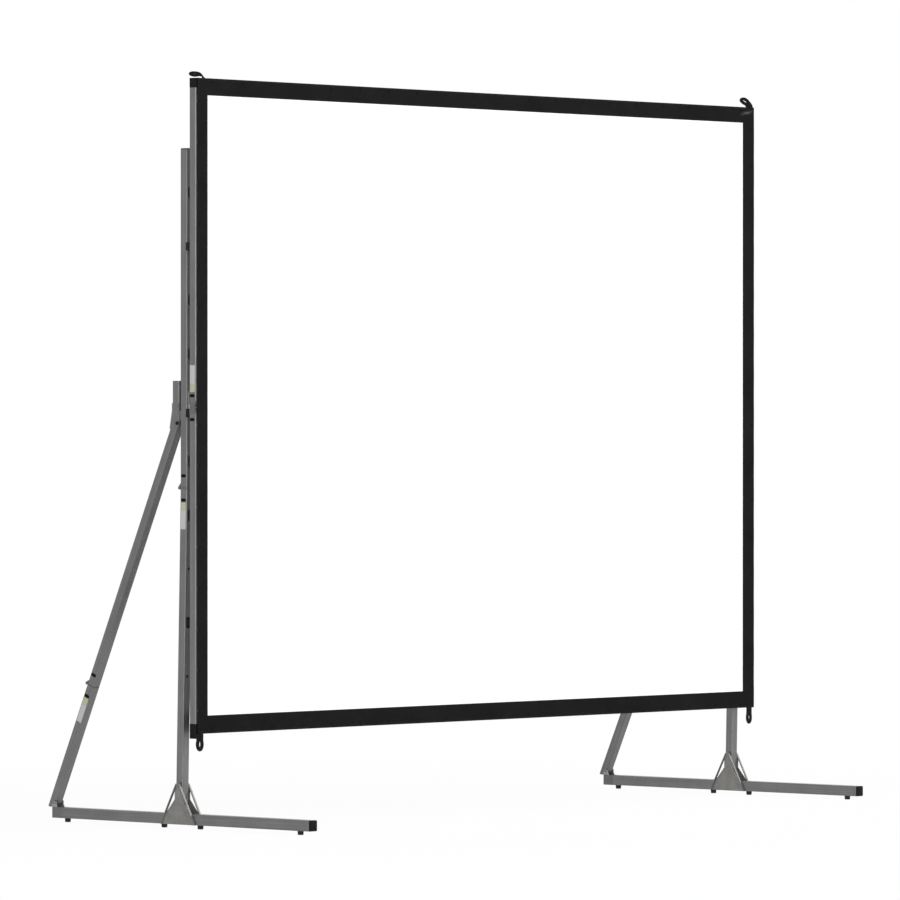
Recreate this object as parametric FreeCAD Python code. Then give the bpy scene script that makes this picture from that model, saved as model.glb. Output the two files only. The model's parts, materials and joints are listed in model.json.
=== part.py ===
import FreeCAD, Part
import math
import os

# Portable folding-frame projection screen on two folding legs.
# Millimetres. +X runs along the screen, +Y to the rear, +Z up. The floor is at zero.
os.makedirs("parts", exist_ok=True)

# Screen frame
frame_width = 3048.0
frame_height = 2286.0
frame_bottom_z = 333.0
frame_tube = 28.6
frame_wall = 1.6
frame_key_distance = 41.6
frame_joint_drop = 6.0
tube_corner_radius = 3.0
corner_block_width = 34.0
top_corner_block_height = 34.0
bottom_corner_block_height = 35.0
bottom_corner_step_left = 17.0
bottom_corner_step_right = 1.0
corner_spigot_length = 30.0

# Folding joint in the middle of each side of the frame
fold_pin_depth = 6.0
fold_barrel_radius = 5.5
fold_pin_radius = 2.5
fold_head_length = 24.0
fold_spigot_length = 36.0
fold_middle_width = 10.0

# Latch lever behind that joint
latch_width = 22.0
latch_thickness = 2.6
latch_stand_off = 5.0
latch_pivot_height = 54.0
latch_foot_drop = 4.0
latch_foot_height = 9.0
latch_pin_radius = 1.6
latch_ear_thickness = 2.0
latch_ear_radius = 4.0
latch_plate_height = 20.0
latch_plate_thickness = 1.2

# Screen surface and its black border
surface_thickness = 0.6
surface_stand_off = 2.4
surface_left_inset = 8.0
border_left_width = 50.0
border_right_width = 67.0
border_top_width = 60.0
border_bottom_width = 63.0
border_thickness = 1.6
fold_strip_half_height = 42.0

# Snap fasteners between the frame and the border
snap_radius = 5.0
snap_pitch = 152.0
snap_corner_distance = 80.0
snap_joint_distance = 62.0

# Pull loops at the four corners of the surface
loop_width = 28.0
loop_neck_width = 18.0
loop_length = 57.0
loop_tail = 22.0
loop_thickness = 1.8
loop_hole_width = 11.0
loop_hole_length = 27.0
loop_inset = 27.0
loop_rise_left = 24.0
loop_rise_right = 38.0
loop_reach_left = 84.0
loop_reach_right = 56.0
loop_bend_radius = 16.0

# Uprights
upright_tube = 31.75
upright_wall = 2.0
upright_top_z = 2376.0
upright_joint_z = 1190.0
upright_inset = 9.5
upright_gap = 21.5
leg_lean = 1.2
upright_key_distance = 42.0
upright_cap_height = 4.0
slot_pitch = 187.5
slot_top_z = 2220.0
slot_width = 19.0
slot_height = 42.0
round_hole_radius = 5.3
upper_slot_steps = (0, 2, 3, 5)
lower_slot_steps = (6, 8)
lower_hole_steps = (7, 9)
saddle_step = 1

# Outside knuckle joints of the uprights and the braces
cap_plate = 3.0
plug_length = 58.0
plug_clearance = 0.2
knuckle_clearance = 0.3
upright_barrel_radius = 6.0
upright_lug_height = 16.0
upright_lug_width = 31.0
brace_barrel_radius = 5.5
brace_lug_height = 14.0
brace_lug_width = 31.0
knuckle_pin_radius = 2.0
knuckle_middle_share = 0.36

# Groove round the castings where the two halves of a joint meet
joint_groove_height = 1.0
joint_groove_depth = 1.2

# Oblong keys that hold the joint castings in their tubes
key_length = 22.0
key_height = 10.5
key_proud = 1.4
key_rear_shift = 0.5

# Rivets, bolts and latch buttons
rivet_radius = 2.5
rivet_head_radius = 5.0
rivet_head_height = 1.6
button_radius = 5.0
button_proud = 3.0
button_depth = 7.0
button_travel = 3.0
button_distance = 22.0
bolt_radius = 3.0
bolt_head_radius = 5.5
bolt_head_height = 4.0
head_chamfer = 0.8
socket_size = 5.0
socket_depth = 2.0
nut_size = 10.0
nut_height = 5.0
thread_depth = 9.0
hole_clearance = 0.1
running_clearance = 0.05

# Brackets that hold the frame on the uprights
bracket_height = 29.0
bracket_below_joint = 4.5
bracket_side_margin = 4.0
bracket_lip_depth = 12.0
bracket_pad_margin = 6.0
saddle_clearance = 0.3

# Base of each leg
base_tube = 38.1
base_wall = 2.0
base_length = 1258.0
base_plug_lip = 4.0
base_plug_length = 25.0
foot_height = 14.0
foot_radius = 11.2
foot_end_radius = 10.0
foot_recess_radius = 4.0
foot_recess_depth = 3.0
block_edge_radius = 1.5
foot_from_end = 61.0
foot_from_upright = 88.0
rear_fitting_length = 50.0
rear_spigot_length = 40.0

# Gusset plates between the base and the upright
gusset_thickness = 2.5
gusset_half_width = 84.0
gusset_apex_z = 162.0
gusset_pivot_z = 152.0
gusset_flange = 8.0
gusset_strip = 3.5
gusset_apex_radius = 9.0
gusset_window_inner = 17.0
gusset_web_height_centre = 102.0
gusset_web_height_edge = 52.0
gusset_web_edge = 60.0
gusset_rivet_y = 50.0
gusset_pivot_radius = 4.5
gusset_pivot_head_radius = 6.5
gusset_pivot_head_height = 4.5
gusset_washer_radius = 8.5
gusset_washer_clearance = 0.15
upright_foot_cap = 6.0
upright_foot_plug = 30.0
upright_foot_clearance = 0.6

# Diagonal braces
brace_tube = 31.75
brace_wall = 1.6
brace_pivot_offset = 10.9
brace_top_pivot_y = 28.0
brace_top_pivot_z = 1416.0
brace_foot_from_end = 11.8
brace_foot_height = 16.8
brace_top_end = 10.0
brace_foot_end = 26.0
brace_knee_distance = 1024.0
brace_key_distance = 41.0
brace_pivot_radius = 4.0
brace_pivot_head_radius = 6.5
brace_pivot_head_height = 4.0
brace_foot_clearance = 0.5
brace_folded_angle = 116.0
brace_end_clearance = 0.4

# Bracket that carries the brace on the upright
brace_bracket_top_z = 1564.0
brace_bracket_start = 44.0
brace_bracket_spacing = 7.1
brace_bracket_bolt_margin = 22.0
brace_bracket_cap = 3.0
spacer_radius = 8.0
ear_thickness = 2.5
ear_clearance = 0.2
ear_overlap = 26.0
ear_drop = 20.0
ear_upright_gap = 2.0
ear_rear_slope = 12.0

# Ears of the rear fitting that hold the foot of the brace
seat_ear_thickness = 2.8
seat_horn_height = 3.0
seat_horn_width = 4.0
seat_front_run = 6.0
seat_clearance = 0.4
seat_sag = 1.5

# One overrun serves every cut
overrun = 5.0

# Places worked out from the sizes above
frame_joint_z = frame_bottom_z + frame_height / 2 - frame_joint_drop
frame_top_z = frame_bottom_z + frame_height
base_half = base_length / 2
base_top_z = foot_height + base_tube
base_mid_z = foot_height + base_tube / 2
# The lower half of a leg leans to the rear about the pin of its knuckle joint, so the
# base lies a little behind the upper half.
leg_angle = math.radians(leg_lean)
knuckle_pin_offset = upright_tube / 2 + upright_barrel_radius + knuckle_clearance
leg_drop = upright_joint_z - gusset_pivot_z
leg_reach = (leg_drop - knuckle_pin_offset * math.sin(leg_angle)) / math.cos(leg_angle)
leg_pivot_z = upright_joint_z - leg_reach
leg_shift = leg_reach * math.sin(leg_angle) + knuckle_pin_offset * (1 - math.cos(leg_angle))
foot_pivot_y = leg_shift + base_half - brace_foot_from_end
foot_pivot_z = base_top_z + brace_foot_height
pivot_run = foot_pivot_y - brace_top_pivot_y
pivot_drop = brace_top_pivot_z - foot_pivot_z
brace_angle = math.atan2(pivot_run, pivot_drop)
brace_span = math.hypot(pivot_run, pivot_drop)
brace_length = brace_span + brace_foot_end
brace_axis_y = brace_pivot_offset
# The rear corner of the brace's square end is the object's rearmost point.
rear_corner_y = (
    brace_top_pivot_y
    + brace_length * math.sin(brace_angle)
    + (brace_axis_y + brace_tube / 2) * math.cos(brace_angle)
)
upright_y = (base_half - leg_shift - rear_corner_y) / 2
base_y = upright_y + leg_shift
upright_front_y = upright_y - upright_tube / 2
upright_rear_y = upright_y + upright_tube / 2
frame_rear_y = upright_front_y - upright_gap
frame_front_y = frame_rear_y - frame_tube
fold_pin_y = frame_front_y + fold_pin_depth
surface_back_y = frame_front_y - surface_stand_off
surface_front_y = surface_back_y - surface_thickness
border_front_y = surface_back_y - border_thickness
half_width = frame_width / 2
leg_x = half_width - upright_inset - upright_tube / 2
side_tube_x = half_width - frame_tube / 2
bracket_bolt_x = (leg_x + side_tube_x) / 2
sides = (("left", -1), ("right", 1))


def vec(x, y, z):
    return FreeCAD.Vector(x, y, z)


def box(x0, x1, y0, y1, z0, z1):
    return Part.makeBox(abs(x1 - x0), y1 - y0, z1 - z0, vec(min(x0, x1), y0, z0))


def rod_x(radius, x0, x1, y, z):
    return Part.makeCylinder(radius, abs(x1 - x0), vec(min(x0, x1), y, z), vec(1, 0, 0))


def rod_y(radius, y0, y1, x, z):
    return Part.makeCylinder(radius, y1 - y0, vec(x, y0, z), vec(0, 1, 0))


def rod_z(radius, z0, z1, x, y):
    return Part.makeCylinder(radius, z1 - z0, vec(x, y, z0), vec(0, 0, 1))


# A bar of square section with rounded long edges, from 0 to its length up the Z axis
def rounded_bar(size, radius, length):
    half = size / 2
    inner = half - radius
    lean = inner + radius * math.sqrt(0.5)
    edges = []
    turn = ((1, 1), (-1, 1), (-1, -1), (1, -1))
    for step, (sx, sy) in enumerate(turn):
        first = vec(sx * half, sy * inner, 0)
        last = vec(sx * inner, sy * half, 0)
        if sx * sy < 0:
            first, last = last, first
        middle = vec(sx * lean, sy * lean, 0)
        edges.append(Part.Arc(first, middle, last).toShape())
        next_x, next_y = turn[(step + 1) % len(turn)]
        start = vec(next_x * half, next_y * inner, 0)
        if next_x * next_y < 0:
            start = vec(next_x * inner, next_y * half, 0)
        edges.append(Part.makeLine(last, start))
    return Part.Face(Part.Wire(edges)).extrude(vec(0, 0, length))


def square_bar_z(size, x, y, z0, z1):
    bar = rounded_bar(size, tube_corner_radius, z1 - z0)
    bar.translate(vec(x, y, z0))
    return bar


def square_tube(size, wall, length):
    outside = rounded_bar(size, tube_corner_radius, length)
    hollow = size / 2 - wall
    inside = box(-hollow, hollow, -hollow, hollow, -overrun, length + overrun)
    return outside.cut(inside)


def square_tube_z(size, wall, x, y, z0, z1):
    tube = square_tube(size, wall, z1 - z0)
    tube.translate(vec(x, y, z0))
    return tube


def square_tube_x(size, wall, x0, x1, y, z):
    tube = square_tube(size, wall, x1 - x0)
    tube.rotate(vec(0, 0, 0), vec(0, 1, 0), 90)
    tube.translate(vec(x0, y, z))
    return tube


def square_tube_y(size, wall, x, y0, y1, z):
    tube = square_tube(size, wall, y1 - y0)
    tube.rotate(vec(0, 0, 0), vec(1, 0, 0), -90)
    tube.translate(vec(x, y0, z))
    return tube


# A box whose twelve edges are all rounded
def eased_box(x0, x1, y0, y1, z0, z1):
    block = box(x0, x1, y0, y1, z0, z1)
    return block.makeFillet(block_edge_radius, block.Edges)


# A flat outline of (y, z) points, thick along X
def plate_x(points, x0, x1):
    corners = [vec(min(x0, x1), y, z) for y, z in points]
    face = Part.Face(Part.makePolygon(corners + [corners[0]]))
    return face.extrude(vec(abs(x1 - x0), 0, 0))


def joined(shapes):
    whole = shapes[0]
    for shape in shapes[1:]:
        whole = whole.fuse(shape)
    return whole.removeSplitter()


def save(node, solids):
    bodies = []
    for shape in solids:
        bodies.extend(shape.Solids)
    whole = bodies[0] if len(bodies) == 1 else Part.makeCompound(bodies)
    whole.exportStep(os.path.join("parts", node + ".step"))


# A round head on the end of a shank. way points from its seat to its chamfered top.
def head(radius, height, seat, way):
    rim = seat + way * (height - head_chamfer)
    axis = way / way.Length
    body = Part.makeCylinder(radius, height - head_chamfer, seat, axis)
    top = Part.makeCone(radius, radius - head_chamfer, head_chamfer, rim, axis)
    return body.fuse(top)


# A hexagonal prism, size across its flats, that starts at a point and runs along an axis
def hexagon(size, height, start, axis):
    turned = FreeCAD.Rotation(vec(0, 0, 1), axis)
    corner = size / math.sqrt(3)
    corners = []
    for step in range(6):
        angle = math.pi * step / 3
        flat = vec(corner * math.cos(angle), corner * math.sin(angle), 0)
        corners.append(start + turned.multVec(flat))
    face = Part.Face(Part.makePolygon(corners + [corners[0]]))
    return face.extrude(axis * height)


# A rivet through plates along X, with a head on each side
def rivet_x(x, size, y, z):
    half = size / 2
    parts = [rod_x(rivet_radius, x - half, x + half, y, z)]
    for way in (-1, 1):
        seat = vec(x + way * half, y, z)
        parts.append(head(rivet_head_radius, rivet_head_height, seat, vec(way, 0, 0)))
    return joined(parts)


# Oblong prism along X, its long side along Y
def oblong_x(x0, x1, y, z, length, height):
    radius = height / 2
    straight = length / 2 - radius
    whole = box(x0, x1, y - straight, y + straight, z - radius, z + radius)
    for end in (-straight, straight):
        whole = whole.fuse(rod_x(radius, x0, x1, y + end, z))
    return whole.removeSplitter()


def key_x(x, size, y, z):
    reach = size / 2 + key_proud
    return oblong_x(x - reach, x + reach, y + key_rear_shift, z, key_length, key_height)


def key_hole_x(x, size, y, z):
    reach = size / 2 + overrun
    length = key_length + 2 * hole_clearance
    height = key_height + 2 * hole_clearance
    return oblong_x(x - reach, x + reach, y + key_rear_shift, z, length, height)


# What a groove takes from the outside of a square casting between two heights
def groove_ring(size, x, y, low, high):
    outer = size / 2 + overrun
    inner = size / 2 - joint_groove_depth
    ring = box(x - outer, x + outer, y - outer, y + outer, low, high)
    return ring.cut(box(x - inner, x + inner, y - inner, y + inner, low, high))


# One half of a knuckle joint whose pin lies outside the rear wall of a square tube.
# The joint plane is z = 0, the tube's axis is y = 0, and way is +1 above it or -1 below.
def knuckle_half(size, wall, way, barrel_radius, lug_width, lug_height, middle, key_distance):
    half = size / 2
    pin_y = half + barrel_radius + knuckle_clearance
    plug_half = half - wall - plug_clearance

    def level(a, b):
        return (min(a * way, b * way), max(a * way, b * way))

    low, high = level(0, cap_plate)
    plate = square_bar_z(size, 0, 0, low, high)
    parts = [plate.cut(groove_ring(size, 0, 0, *level(0, joint_groove_height)))]
    low, high = level(0, plug_length)
    parts.append(box(-plug_half, plug_half, -plug_half, plug_half, low, high))
    middle_half = lug_width * knuckle_middle_share / 2
    if middle:
        spans = [(-middle_half, middle_half)]
    else:
        inner = middle_half + knuckle_clearance
        spans = [(-lug_width / 2, -inner), (inner, lug_width / 2)]
    lean = barrel_radius * math.sqrt(0.5)
    lug = [(half, 0), (pin_y, 0), (pin_y + lean, way * lean), (half, way * lug_height)]
    for x0, x1 in spans:
        parts.append(plate_x(lug, x0, x1))
        parts.append(rod_x(barrel_radius, x0, x1, pin_y, 0))
    solid = joined(parts)
    reach = half + overrun
    solid = solid.cut(rod_x(knuckle_pin_radius + running_clearance, -reach, reach, pin_y, 0))
    return solid.cut(key_hole_x(0, size, 0, key_distance * way))


def knuckle_pin(size, barrel_radius, lug_width):
    pin_y = size / 2 + barrel_radius + knuckle_clearance
    return rod_x(knuckle_pin_radius, -lug_width / 2, lug_width / 2, pin_y, 0)


# A push button in the right-hand side of a tube, and the pocket that it slides in
def button(x, y, z, size):
    face_x = x + size / 2
    return rod_x(button_radius, face_x - button_depth, face_x + button_proud, y, z)


def button_pocket(x, y, z, size):
    face_x = x + size / 2
    depth = button_depth + button_travel + knuckle_clearance
    return rod_x(button_radius + knuckle_clearance, face_x - depth, face_x + overrun, y, z)


# Frame: tubes, corner blocks and the folding joints
def make_frame():
    rail_x = half_width - corner_block_width
    rail_y = frame_front_y + frame_tube / 2
    bottom_block_top_z = frame_bottom_z + bottom_corner_block_height
    top_block_bottom_z = frame_top_z - top_corner_block_height
    bottom_z = frame_bottom_z + frame_tube / 2
    top_z = frame_top_z - frame_tube / 2
    save("bottom_rail", [square_tube_x(frame_tube, frame_wall, -rail_x, rail_x, rail_y, bottom_z)])
    save("top_rail", [square_tube_x(frame_tube, frame_wall, -rail_x, rail_x, rail_y, top_z)])
    lower_tubes, upper_tubes = [], []
    for side, sign in sides:
        x = sign * side_tube_x
        low = square_tube_z(
            frame_tube, frame_wall, x, rail_y, bottom_block_top_z, frame_joint_z - fold_head_length
        )
        high = square_tube_z(
            frame_tube, frame_wall, x, rail_y, frame_joint_z + fold_head_length, top_block_bottom_z
        )
        low = low.cut(key_hole_x(x, frame_tube, rail_y, frame_joint_z - frame_key_distance))
        high = high.cut(key_hole_x(x, frame_tube, rail_y, frame_joint_z + frame_key_distance))
        lower_tubes.append(low)
        upper_tubes.append(high)
    save("side_tubes_lower", lower_tubes)
    save("side_tubes_upper", upper_tubes)
    spigot = frame_tube - 2 * frame_wall - 2 * plug_clearance
    lower_blocks = []
    upper_blocks = []
    for side, sign in sides:
        x = sign * side_tube_x
        outer_x = sign * half_width
        inner_x = sign * rail_x
        spigot_x = sign * (rail_x - corner_spigot_length)
        step = bottom_corner_step_left if sign < 0 else bottom_corner_step_right
        low_z = frame_bottom_z - step
        rear_y = frame_front_y + frame_tube
        lower_blocks.append(joined([
            eased_box(outer_x, inner_x, frame_front_y, rear_y, low_z, bottom_block_top_z),
            square_bar_z(spigot, x, rail_y, bottom_block_top_z, bottom_block_top_z + corner_spigot_length),
            box(inner_x, spigot_x, rail_y - spigot / 2, rail_y + spigot / 2,
                bottom_z - spigot / 2, bottom_z + spigot / 2),
        ]))
        upper_blocks.append(joined([
            eased_box(outer_x, inner_x, frame_front_y, rear_y, top_block_bottom_z, frame_top_z),
            square_bar_z(spigot, x, rail_y, top_block_bottom_z - corner_spigot_length, top_block_bottom_z),
            box(inner_x, spigot_x, rail_y - spigot / 2, rail_y + spigot / 2,
                top_z - spigot / 2, top_z + spigot / 2),
        ]))
    save("bottom_corner_blocks", lower_blocks)
    save("top_corner_blocks", upper_blocks)


# One half of a frame joint, whose pin lies just inside the front face of the tube
def frame_hinge_half(x, way, middle):
    half = frame_tube / 2
    rail_y = frame_front_y + half
    spigot = frame_tube - 2 * frame_wall - 2 * plug_clearance

    def level(a, b):
        return (frame_joint_z + min(a * way, b * way), frame_joint_z + max(a * way, b * way))

    low, high = level(0, fold_head_length)
    block = box(x - half, x + half, frame_front_y, frame_rear_y, low, high)
    relief_depth = fold_pin_depth + knuckle_clearance
    relief = plate_x(
        [
            (frame_front_y, frame_joint_z + way * fold_head_length),
            (frame_front_y + relief_depth, frame_joint_z),
            (frame_front_y - overrun, frame_joint_z),
            (frame_front_y - overrun, frame_joint_z + way * fold_head_length),
        ],
        x - half - overrun,
        x + half + overrun,
    )
    block = block.cut(relief)
    # The groove leaves out the front of the joint, where the pin is.
    ring = groove_ring(frame_tube, x, rail_y, *level(0, joint_groove_height))
    front_reach = fold_pin_y + fold_barrel_radius
    whole = half + 2 * overrun
    front = box(x - whole, x + whole, frame_front_y - 2 * overrun, front_reach,
                frame_joint_z - overrun, frame_joint_z + overrun)
    block = block.cut(ring.cut(front))
    middle_half = fold_middle_width / 2
    own = [(x - middle_half, x + middle_half)]
    other = [
        (x - half, x - middle_half - knuckle_clearance),
        (x + middle_half + knuckle_clearance, x + half),
    ]
    if not middle:
        own, other = other, own
    wider = fold_barrel_radius + knuckle_clearance
    for x0, x1 in other:
        block = block.cut(
            rod_x(wider, x0 - knuckle_clearance, x1 + knuckle_clearance, fold_pin_y, frame_joint_z)
        )
    low, high = level(fold_head_length, fold_head_length + fold_spigot_length)
    parts = [block, square_bar_z(spigot, x, rail_y, low, high)]
    parts += [rod_x(fold_barrel_radius, x0, x1, fold_pin_y, frame_joint_z) for x0, x1 in own]
    solid = joined(parts)
    bore = fold_pin_radius + running_clearance
    reach = half + overrun
    solid = solid.cut(rod_x(bore, x - reach, x + reach, fold_pin_y, frame_joint_z))
    key_z = frame_joint_z + way * frame_key_distance
    return solid.cut(key_hole_x(x, frame_tube, rail_y, key_z))


# Latch lever: a flat J that hangs from its pin and whose foot closes on the joint
def latch_lever(x):
    pivot_z = frame_joint_z + latch_pivot_height
    front = frame_rear_y + latch_stand_off
    rear = front + latch_thickness
    foot_low_z = frame_joint_z - latch_foot_drop
    foot_front = frame_rear_y + saddle_clearance
    lever = plate_x(
        [
            (front, pivot_z),
            (front, foot_low_z + 2 * latch_foot_height),
            (foot_front + latch_thickness / 2, foot_low_z + latch_foot_height),
            (foot_front, foot_low_z),
            (rear - latch_thickness / 2, foot_low_z),
            (rear, foot_low_z + latch_foot_height),
            (rear, pivot_z),
        ],
        x - latch_width / 2,
        x + latch_width / 2,
    )
    eye_y = (front + rear) / 2
    eye = rod_x(latch_thickness, x - latch_width / 2, x + latch_width / 2, eye_y, pivot_z)
    bore = latch_pin_radius + running_clearance
    reach = latch_width / 2 + overrun
    return joined([lever, eye]).cut(rod_x(bore, x - reach, x + reach, eye_y, pivot_z))


# Plate with two ears on the rear of the tube, and the pin of the latch lever
def latch_bracket(x):
    pivot_z = frame_joint_z + latch_pivot_height
    pin_y = frame_rear_y + latch_stand_off + latch_thickness / 2
    inner = latch_width / 2 + knuckle_clearance
    outer = inner + latch_ear_thickness
    low = pivot_z - latch_plate_height / 2
    high = pivot_z + latch_plate_height / 2
    plate = box(x - outer, x + outer, frame_rear_y, frame_rear_y + latch_plate_thickness, low, high)
    parts = [plate]
    for way in (-1, 1):
        near, far = x + way * inner, x + way * outer
        parts.append(box(near, far, frame_rear_y, pin_y, pivot_z - latch_ear_radius,
                         pivot_z + latch_ear_radius))
        parts.append(rod_x(latch_ear_radius, near, far, pin_y, pivot_z))
    bore = latch_pin_radius + running_clearance
    reach = outer + overrun
    ears = joined(parts).cut(rod_x(bore, x - reach, x + reach, pin_y, pivot_z))
    pin = rod_x(latch_pin_radius, x - outer, x + outer, pin_y, pivot_z)
    return [ears, pin]


def make_frame_hinges():
    lower, upper = [], []
    rail_y = frame_front_y + frame_tube / 2
    for side, sign in sides:
        x = sign * side_tube_x
        half = frame_tube / 2
        threaded = rod_y(
            bolt_radius + hole_clearance, frame_rear_y - thread_depth, frame_rear_y + overrun,
            sign * bracket_bolt_x, frame_joint_z - bracket_below_joint - bracket_height / 2,
        )
        lower.append(frame_hinge_half(x, -1, False).cut(threaded))
        lower.append(rod_x(fold_pin_radius, x - half, x + half, fold_pin_y, frame_joint_z))
        lower.append(key_x(x, frame_tube, rail_y, frame_joint_z - frame_key_distance))
        upper.append(frame_hinge_half(x, 1, True))
        upper.append(key_x(x, frame_tube, rail_y, frame_joint_z + frame_key_distance))
        upper.extend(latch_bracket(x))
        save(side + "_frame_latch", [latch_lever(x)])
    save("frame_hinges_lower", lower)
    save("frame_hinges_upper", upper)


# Surface and border, in a lower and an upper half and the strip that bends at the joint
def make_screen():
    left = -half_width + surface_left_inset
    right = half_width
    inner_left = left + border_left_width
    inner_right = right - border_right_width
    low_strip_z = frame_joint_z - fold_strip_half_height
    high_strip_z = frame_joint_z + fold_strip_half_height
    inner_low_z = frame_bottom_z + border_bottom_width
    inner_high_z = frame_top_z - border_top_width

    def white(z0, z1):
        return box(inner_left, inner_right, surface_front_y, surface_back_y, z0, z1)

    def black(x0, x1, z0, z1):
        return box(x0, x1, border_front_y, surface_back_y, z0, z1)

    save("screen_surface_lower", [white(inner_low_z, low_strip_z)])
    save("screen_surface_upper", [white(high_strip_z, inner_high_z)])
    save("surface_fold_strip", [white(low_strip_z, high_strip_z)])
    save("border_lower", [
        black(left, inner_left, frame_bottom_z, low_strip_z),
        black(inner_right, right, frame_bottom_z, low_strip_z),
        black(inner_left, inner_right, frame_bottom_z, inner_low_z),
    ])
    save("border_upper", [
        black(left, inner_left, high_strip_z, frame_top_z),
        black(inner_right, right, high_strip_z, frame_top_z),
        black(inner_left, inner_right, inner_high_z, frame_top_z),
    ])
    save("border_fold_strips", [
        black(left, inner_left, low_strip_z, high_strip_z),
        black(inner_right, right, low_strip_z, high_strip_z),
    ])


# Snap fasteners, evenly spaced round the frame but clear of its corners and joints
def snap_places(start, end):
    count = max(1, round((end - start) / snap_pitch))
    return [start + (end - start) * step / count for step in range(count + 1)]


def make_snaps():
    def snap(x, z):
        return rod_y(snap_radius, surface_back_y, frame_front_y, x, z)

    across = snap_places(-half_width + snap_corner_distance, half_width - snap_corner_distance)
    low_z = frame_bottom_z + frame_tube / 2
    high_z = frame_top_z - frame_tube / 2
    lower = [snap(x, low_z) for x in across]
    upper = [snap(x, high_z) for x in across]
    lower_run = snap_places(frame_bottom_z + snap_corner_distance, frame_joint_z - snap_joint_distance)
    upper_run = snap_places(frame_joint_z + snap_joint_distance, frame_top_z - snap_corner_distance)
    for side, sign in sides:
        lower += [snap(sign * side_tube_x, z) for z in lower_run]
        upper += [snap(sign * side_tube_x, z) for z in upper_run]
    save("snap_fasteners_lower", lower)
    save("snap_fasteners_upper", upper)


# Pull loops: flat webbing, tucked behind the border. The lower ones hang.
def hanging_loop(x):
    front = surface_back_y
    rear = front + loop_thickness
    end_radius = loop_width / 2
    neck = loop_neck_width / 2
    round_z = frame_bottom_z - loop_length + end_radius
    outline = [
        (x - neck, frame_bottom_z + loop_tail),
        (x - neck, frame_bottom_z),
        (x - end_radius, round_z),
        (x + end_radius, round_z),
        (x + neck, frame_bottom_z),
        (x + neck, frame_bottom_z + loop_tail),
    ]
    corners = [vec(px, front, pz) for px, pz in outline]
    body = Part.Face(Part.makePolygon(corners + [corners[0]])).extrude(vec(0, loop_thickness, 0))
    body = joined([body, rod_y(end_radius, front, rear, x, round_z)])
    hole_radius = loop_hole_width / 2
    hole_top_z = round_z + loop_hole_length - loop_hole_width
    gap_front, gap_rear = front - overrun, rear + overrun
    hole = box(x - hole_radius, x + hole_radius, gap_front, gap_rear, round_z, hole_top_z)
    for z in (round_z, hole_top_z):
        hole = hole.fuse(rod_y(hole_radius, gap_front, gap_rear, x, z))
    return body.cut(hole)


# The upper ones rise behind the border, bend over the frame and lie towards the rear.
def flopped_loop(x, rise, reach):
    inner_y = surface_back_y
    top_z = frame_top_z + rise
    bend_y = inner_y + loop_bend_radius
    bend_z = top_z - loop_bend_radius
    inner_bend = loop_bend_radius - loop_thickness
    half = loop_width / 2
    outer_arc = Part.Arc(
        vec(x - half, inner_y, bend_z),
        vec(x - half, bend_y - loop_bend_radius * math.sqrt(0.5),
            bend_z + loop_bend_radius * math.sqrt(0.5)),
        vec(x - half, bend_y, top_z),
    ).toShape()
    inner_arc = Part.Arc(
        vec(x - half, bend_y, top_z - loop_thickness),
        vec(x - half, bend_y - inner_bend * math.sqrt(0.5), bend_z + inner_bend * math.sqrt(0.5)),
        vec(x - half, inner_y + loop_thickness, bend_z),
    ).toShape()
    tail_z = frame_top_z - loop_tail
    end_y = inner_y + reach

    def run(y0, z0, y1, z1):
        return Part.makeLine(vec(x - half, y0, z0), vec(x - half, y1, z1))

    wire = Part.Wire([
        run(inner_y, tail_z, inner_y, bend_z),
        outer_arc,
        run(bend_y, top_z, end_y, top_z),
        run(end_y, top_z, end_y, top_z - loop_thickness),
        run(end_y, top_z - loop_thickness, bend_y, top_z - loop_thickness),
        inner_arc,
        run(inner_y + loop_thickness, bend_z, inner_y + loop_thickness, tail_z),
        run(inner_y + loop_thickness, tail_z, inner_y, tail_z),
    ])
    band = Part.Face(wire).extrude(vec(loop_width, 0, 0))
    low_z, high_z = top_z - loop_thickness - overrun, top_z + overrun
    round_y = end_y - half
    square_end = box(x - half - overrun, x + half + overrun, round_y, end_y + overrun, low_z, high_z)
    band = band.cut(square_end.cut(rod_z(half, low_z, high_z, x, round_y)))
    hole_radius = loop_hole_width / 2
    hole_start_y = round_y - loop_hole_length + loop_hole_width
    hole = box(x - hole_radius, x + hole_radius, hole_start_y, round_y, low_z, high_z)
    for y in (hole_start_y, round_y):
        hole = hole.fuse(rod_z(hole_radius, low_z, high_z, x, y))
    return band.cut(hole)


def make_loops():
    left_x = -half_width + surface_left_inset + loop_inset
    right_x = half_width - loop_inset
    save("pull_loops_lower", [hanging_loop(left_x), hanging_loop(right_x)])
    save("pull_loops_upper", [
        flopped_loop(left_x, loop_rise_left, loop_reach_left),
        flopped_loop(right_x, loop_rise_right, loop_reach_right),
    ])


# Slots and round holes in the front wall of an upright
def front_opening(x, z, width, height):
    radius = width / 2
    y0, y1 = upright_front_y - overrun, upright_front_y + upright_wall + overrun
    if height <= width:
        return rod_y(radius, y0, y1, x, z)
    straight = (height - width) / 2
    cut = box(x - radius, x + radius, y0, y1, z - straight, z + straight)
    for end in (-straight, straight):
        cut = cut.fuse(rod_y(radius, y0, y1, x, z + end))
    return cut


def knuckle_set(x, way, middle):
    half = knuckle_half(
        upright_tube, upright_wall, way, upright_barrel_radius, upright_lug_width,
        upright_lug_height, middle, upright_key_distance,
    )
    half.translate(vec(x, upright_y, upright_joint_z))
    key = key_x(x, upright_tube, upright_y, upright_joint_z + way * upright_key_distance)
    return half, key


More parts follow.
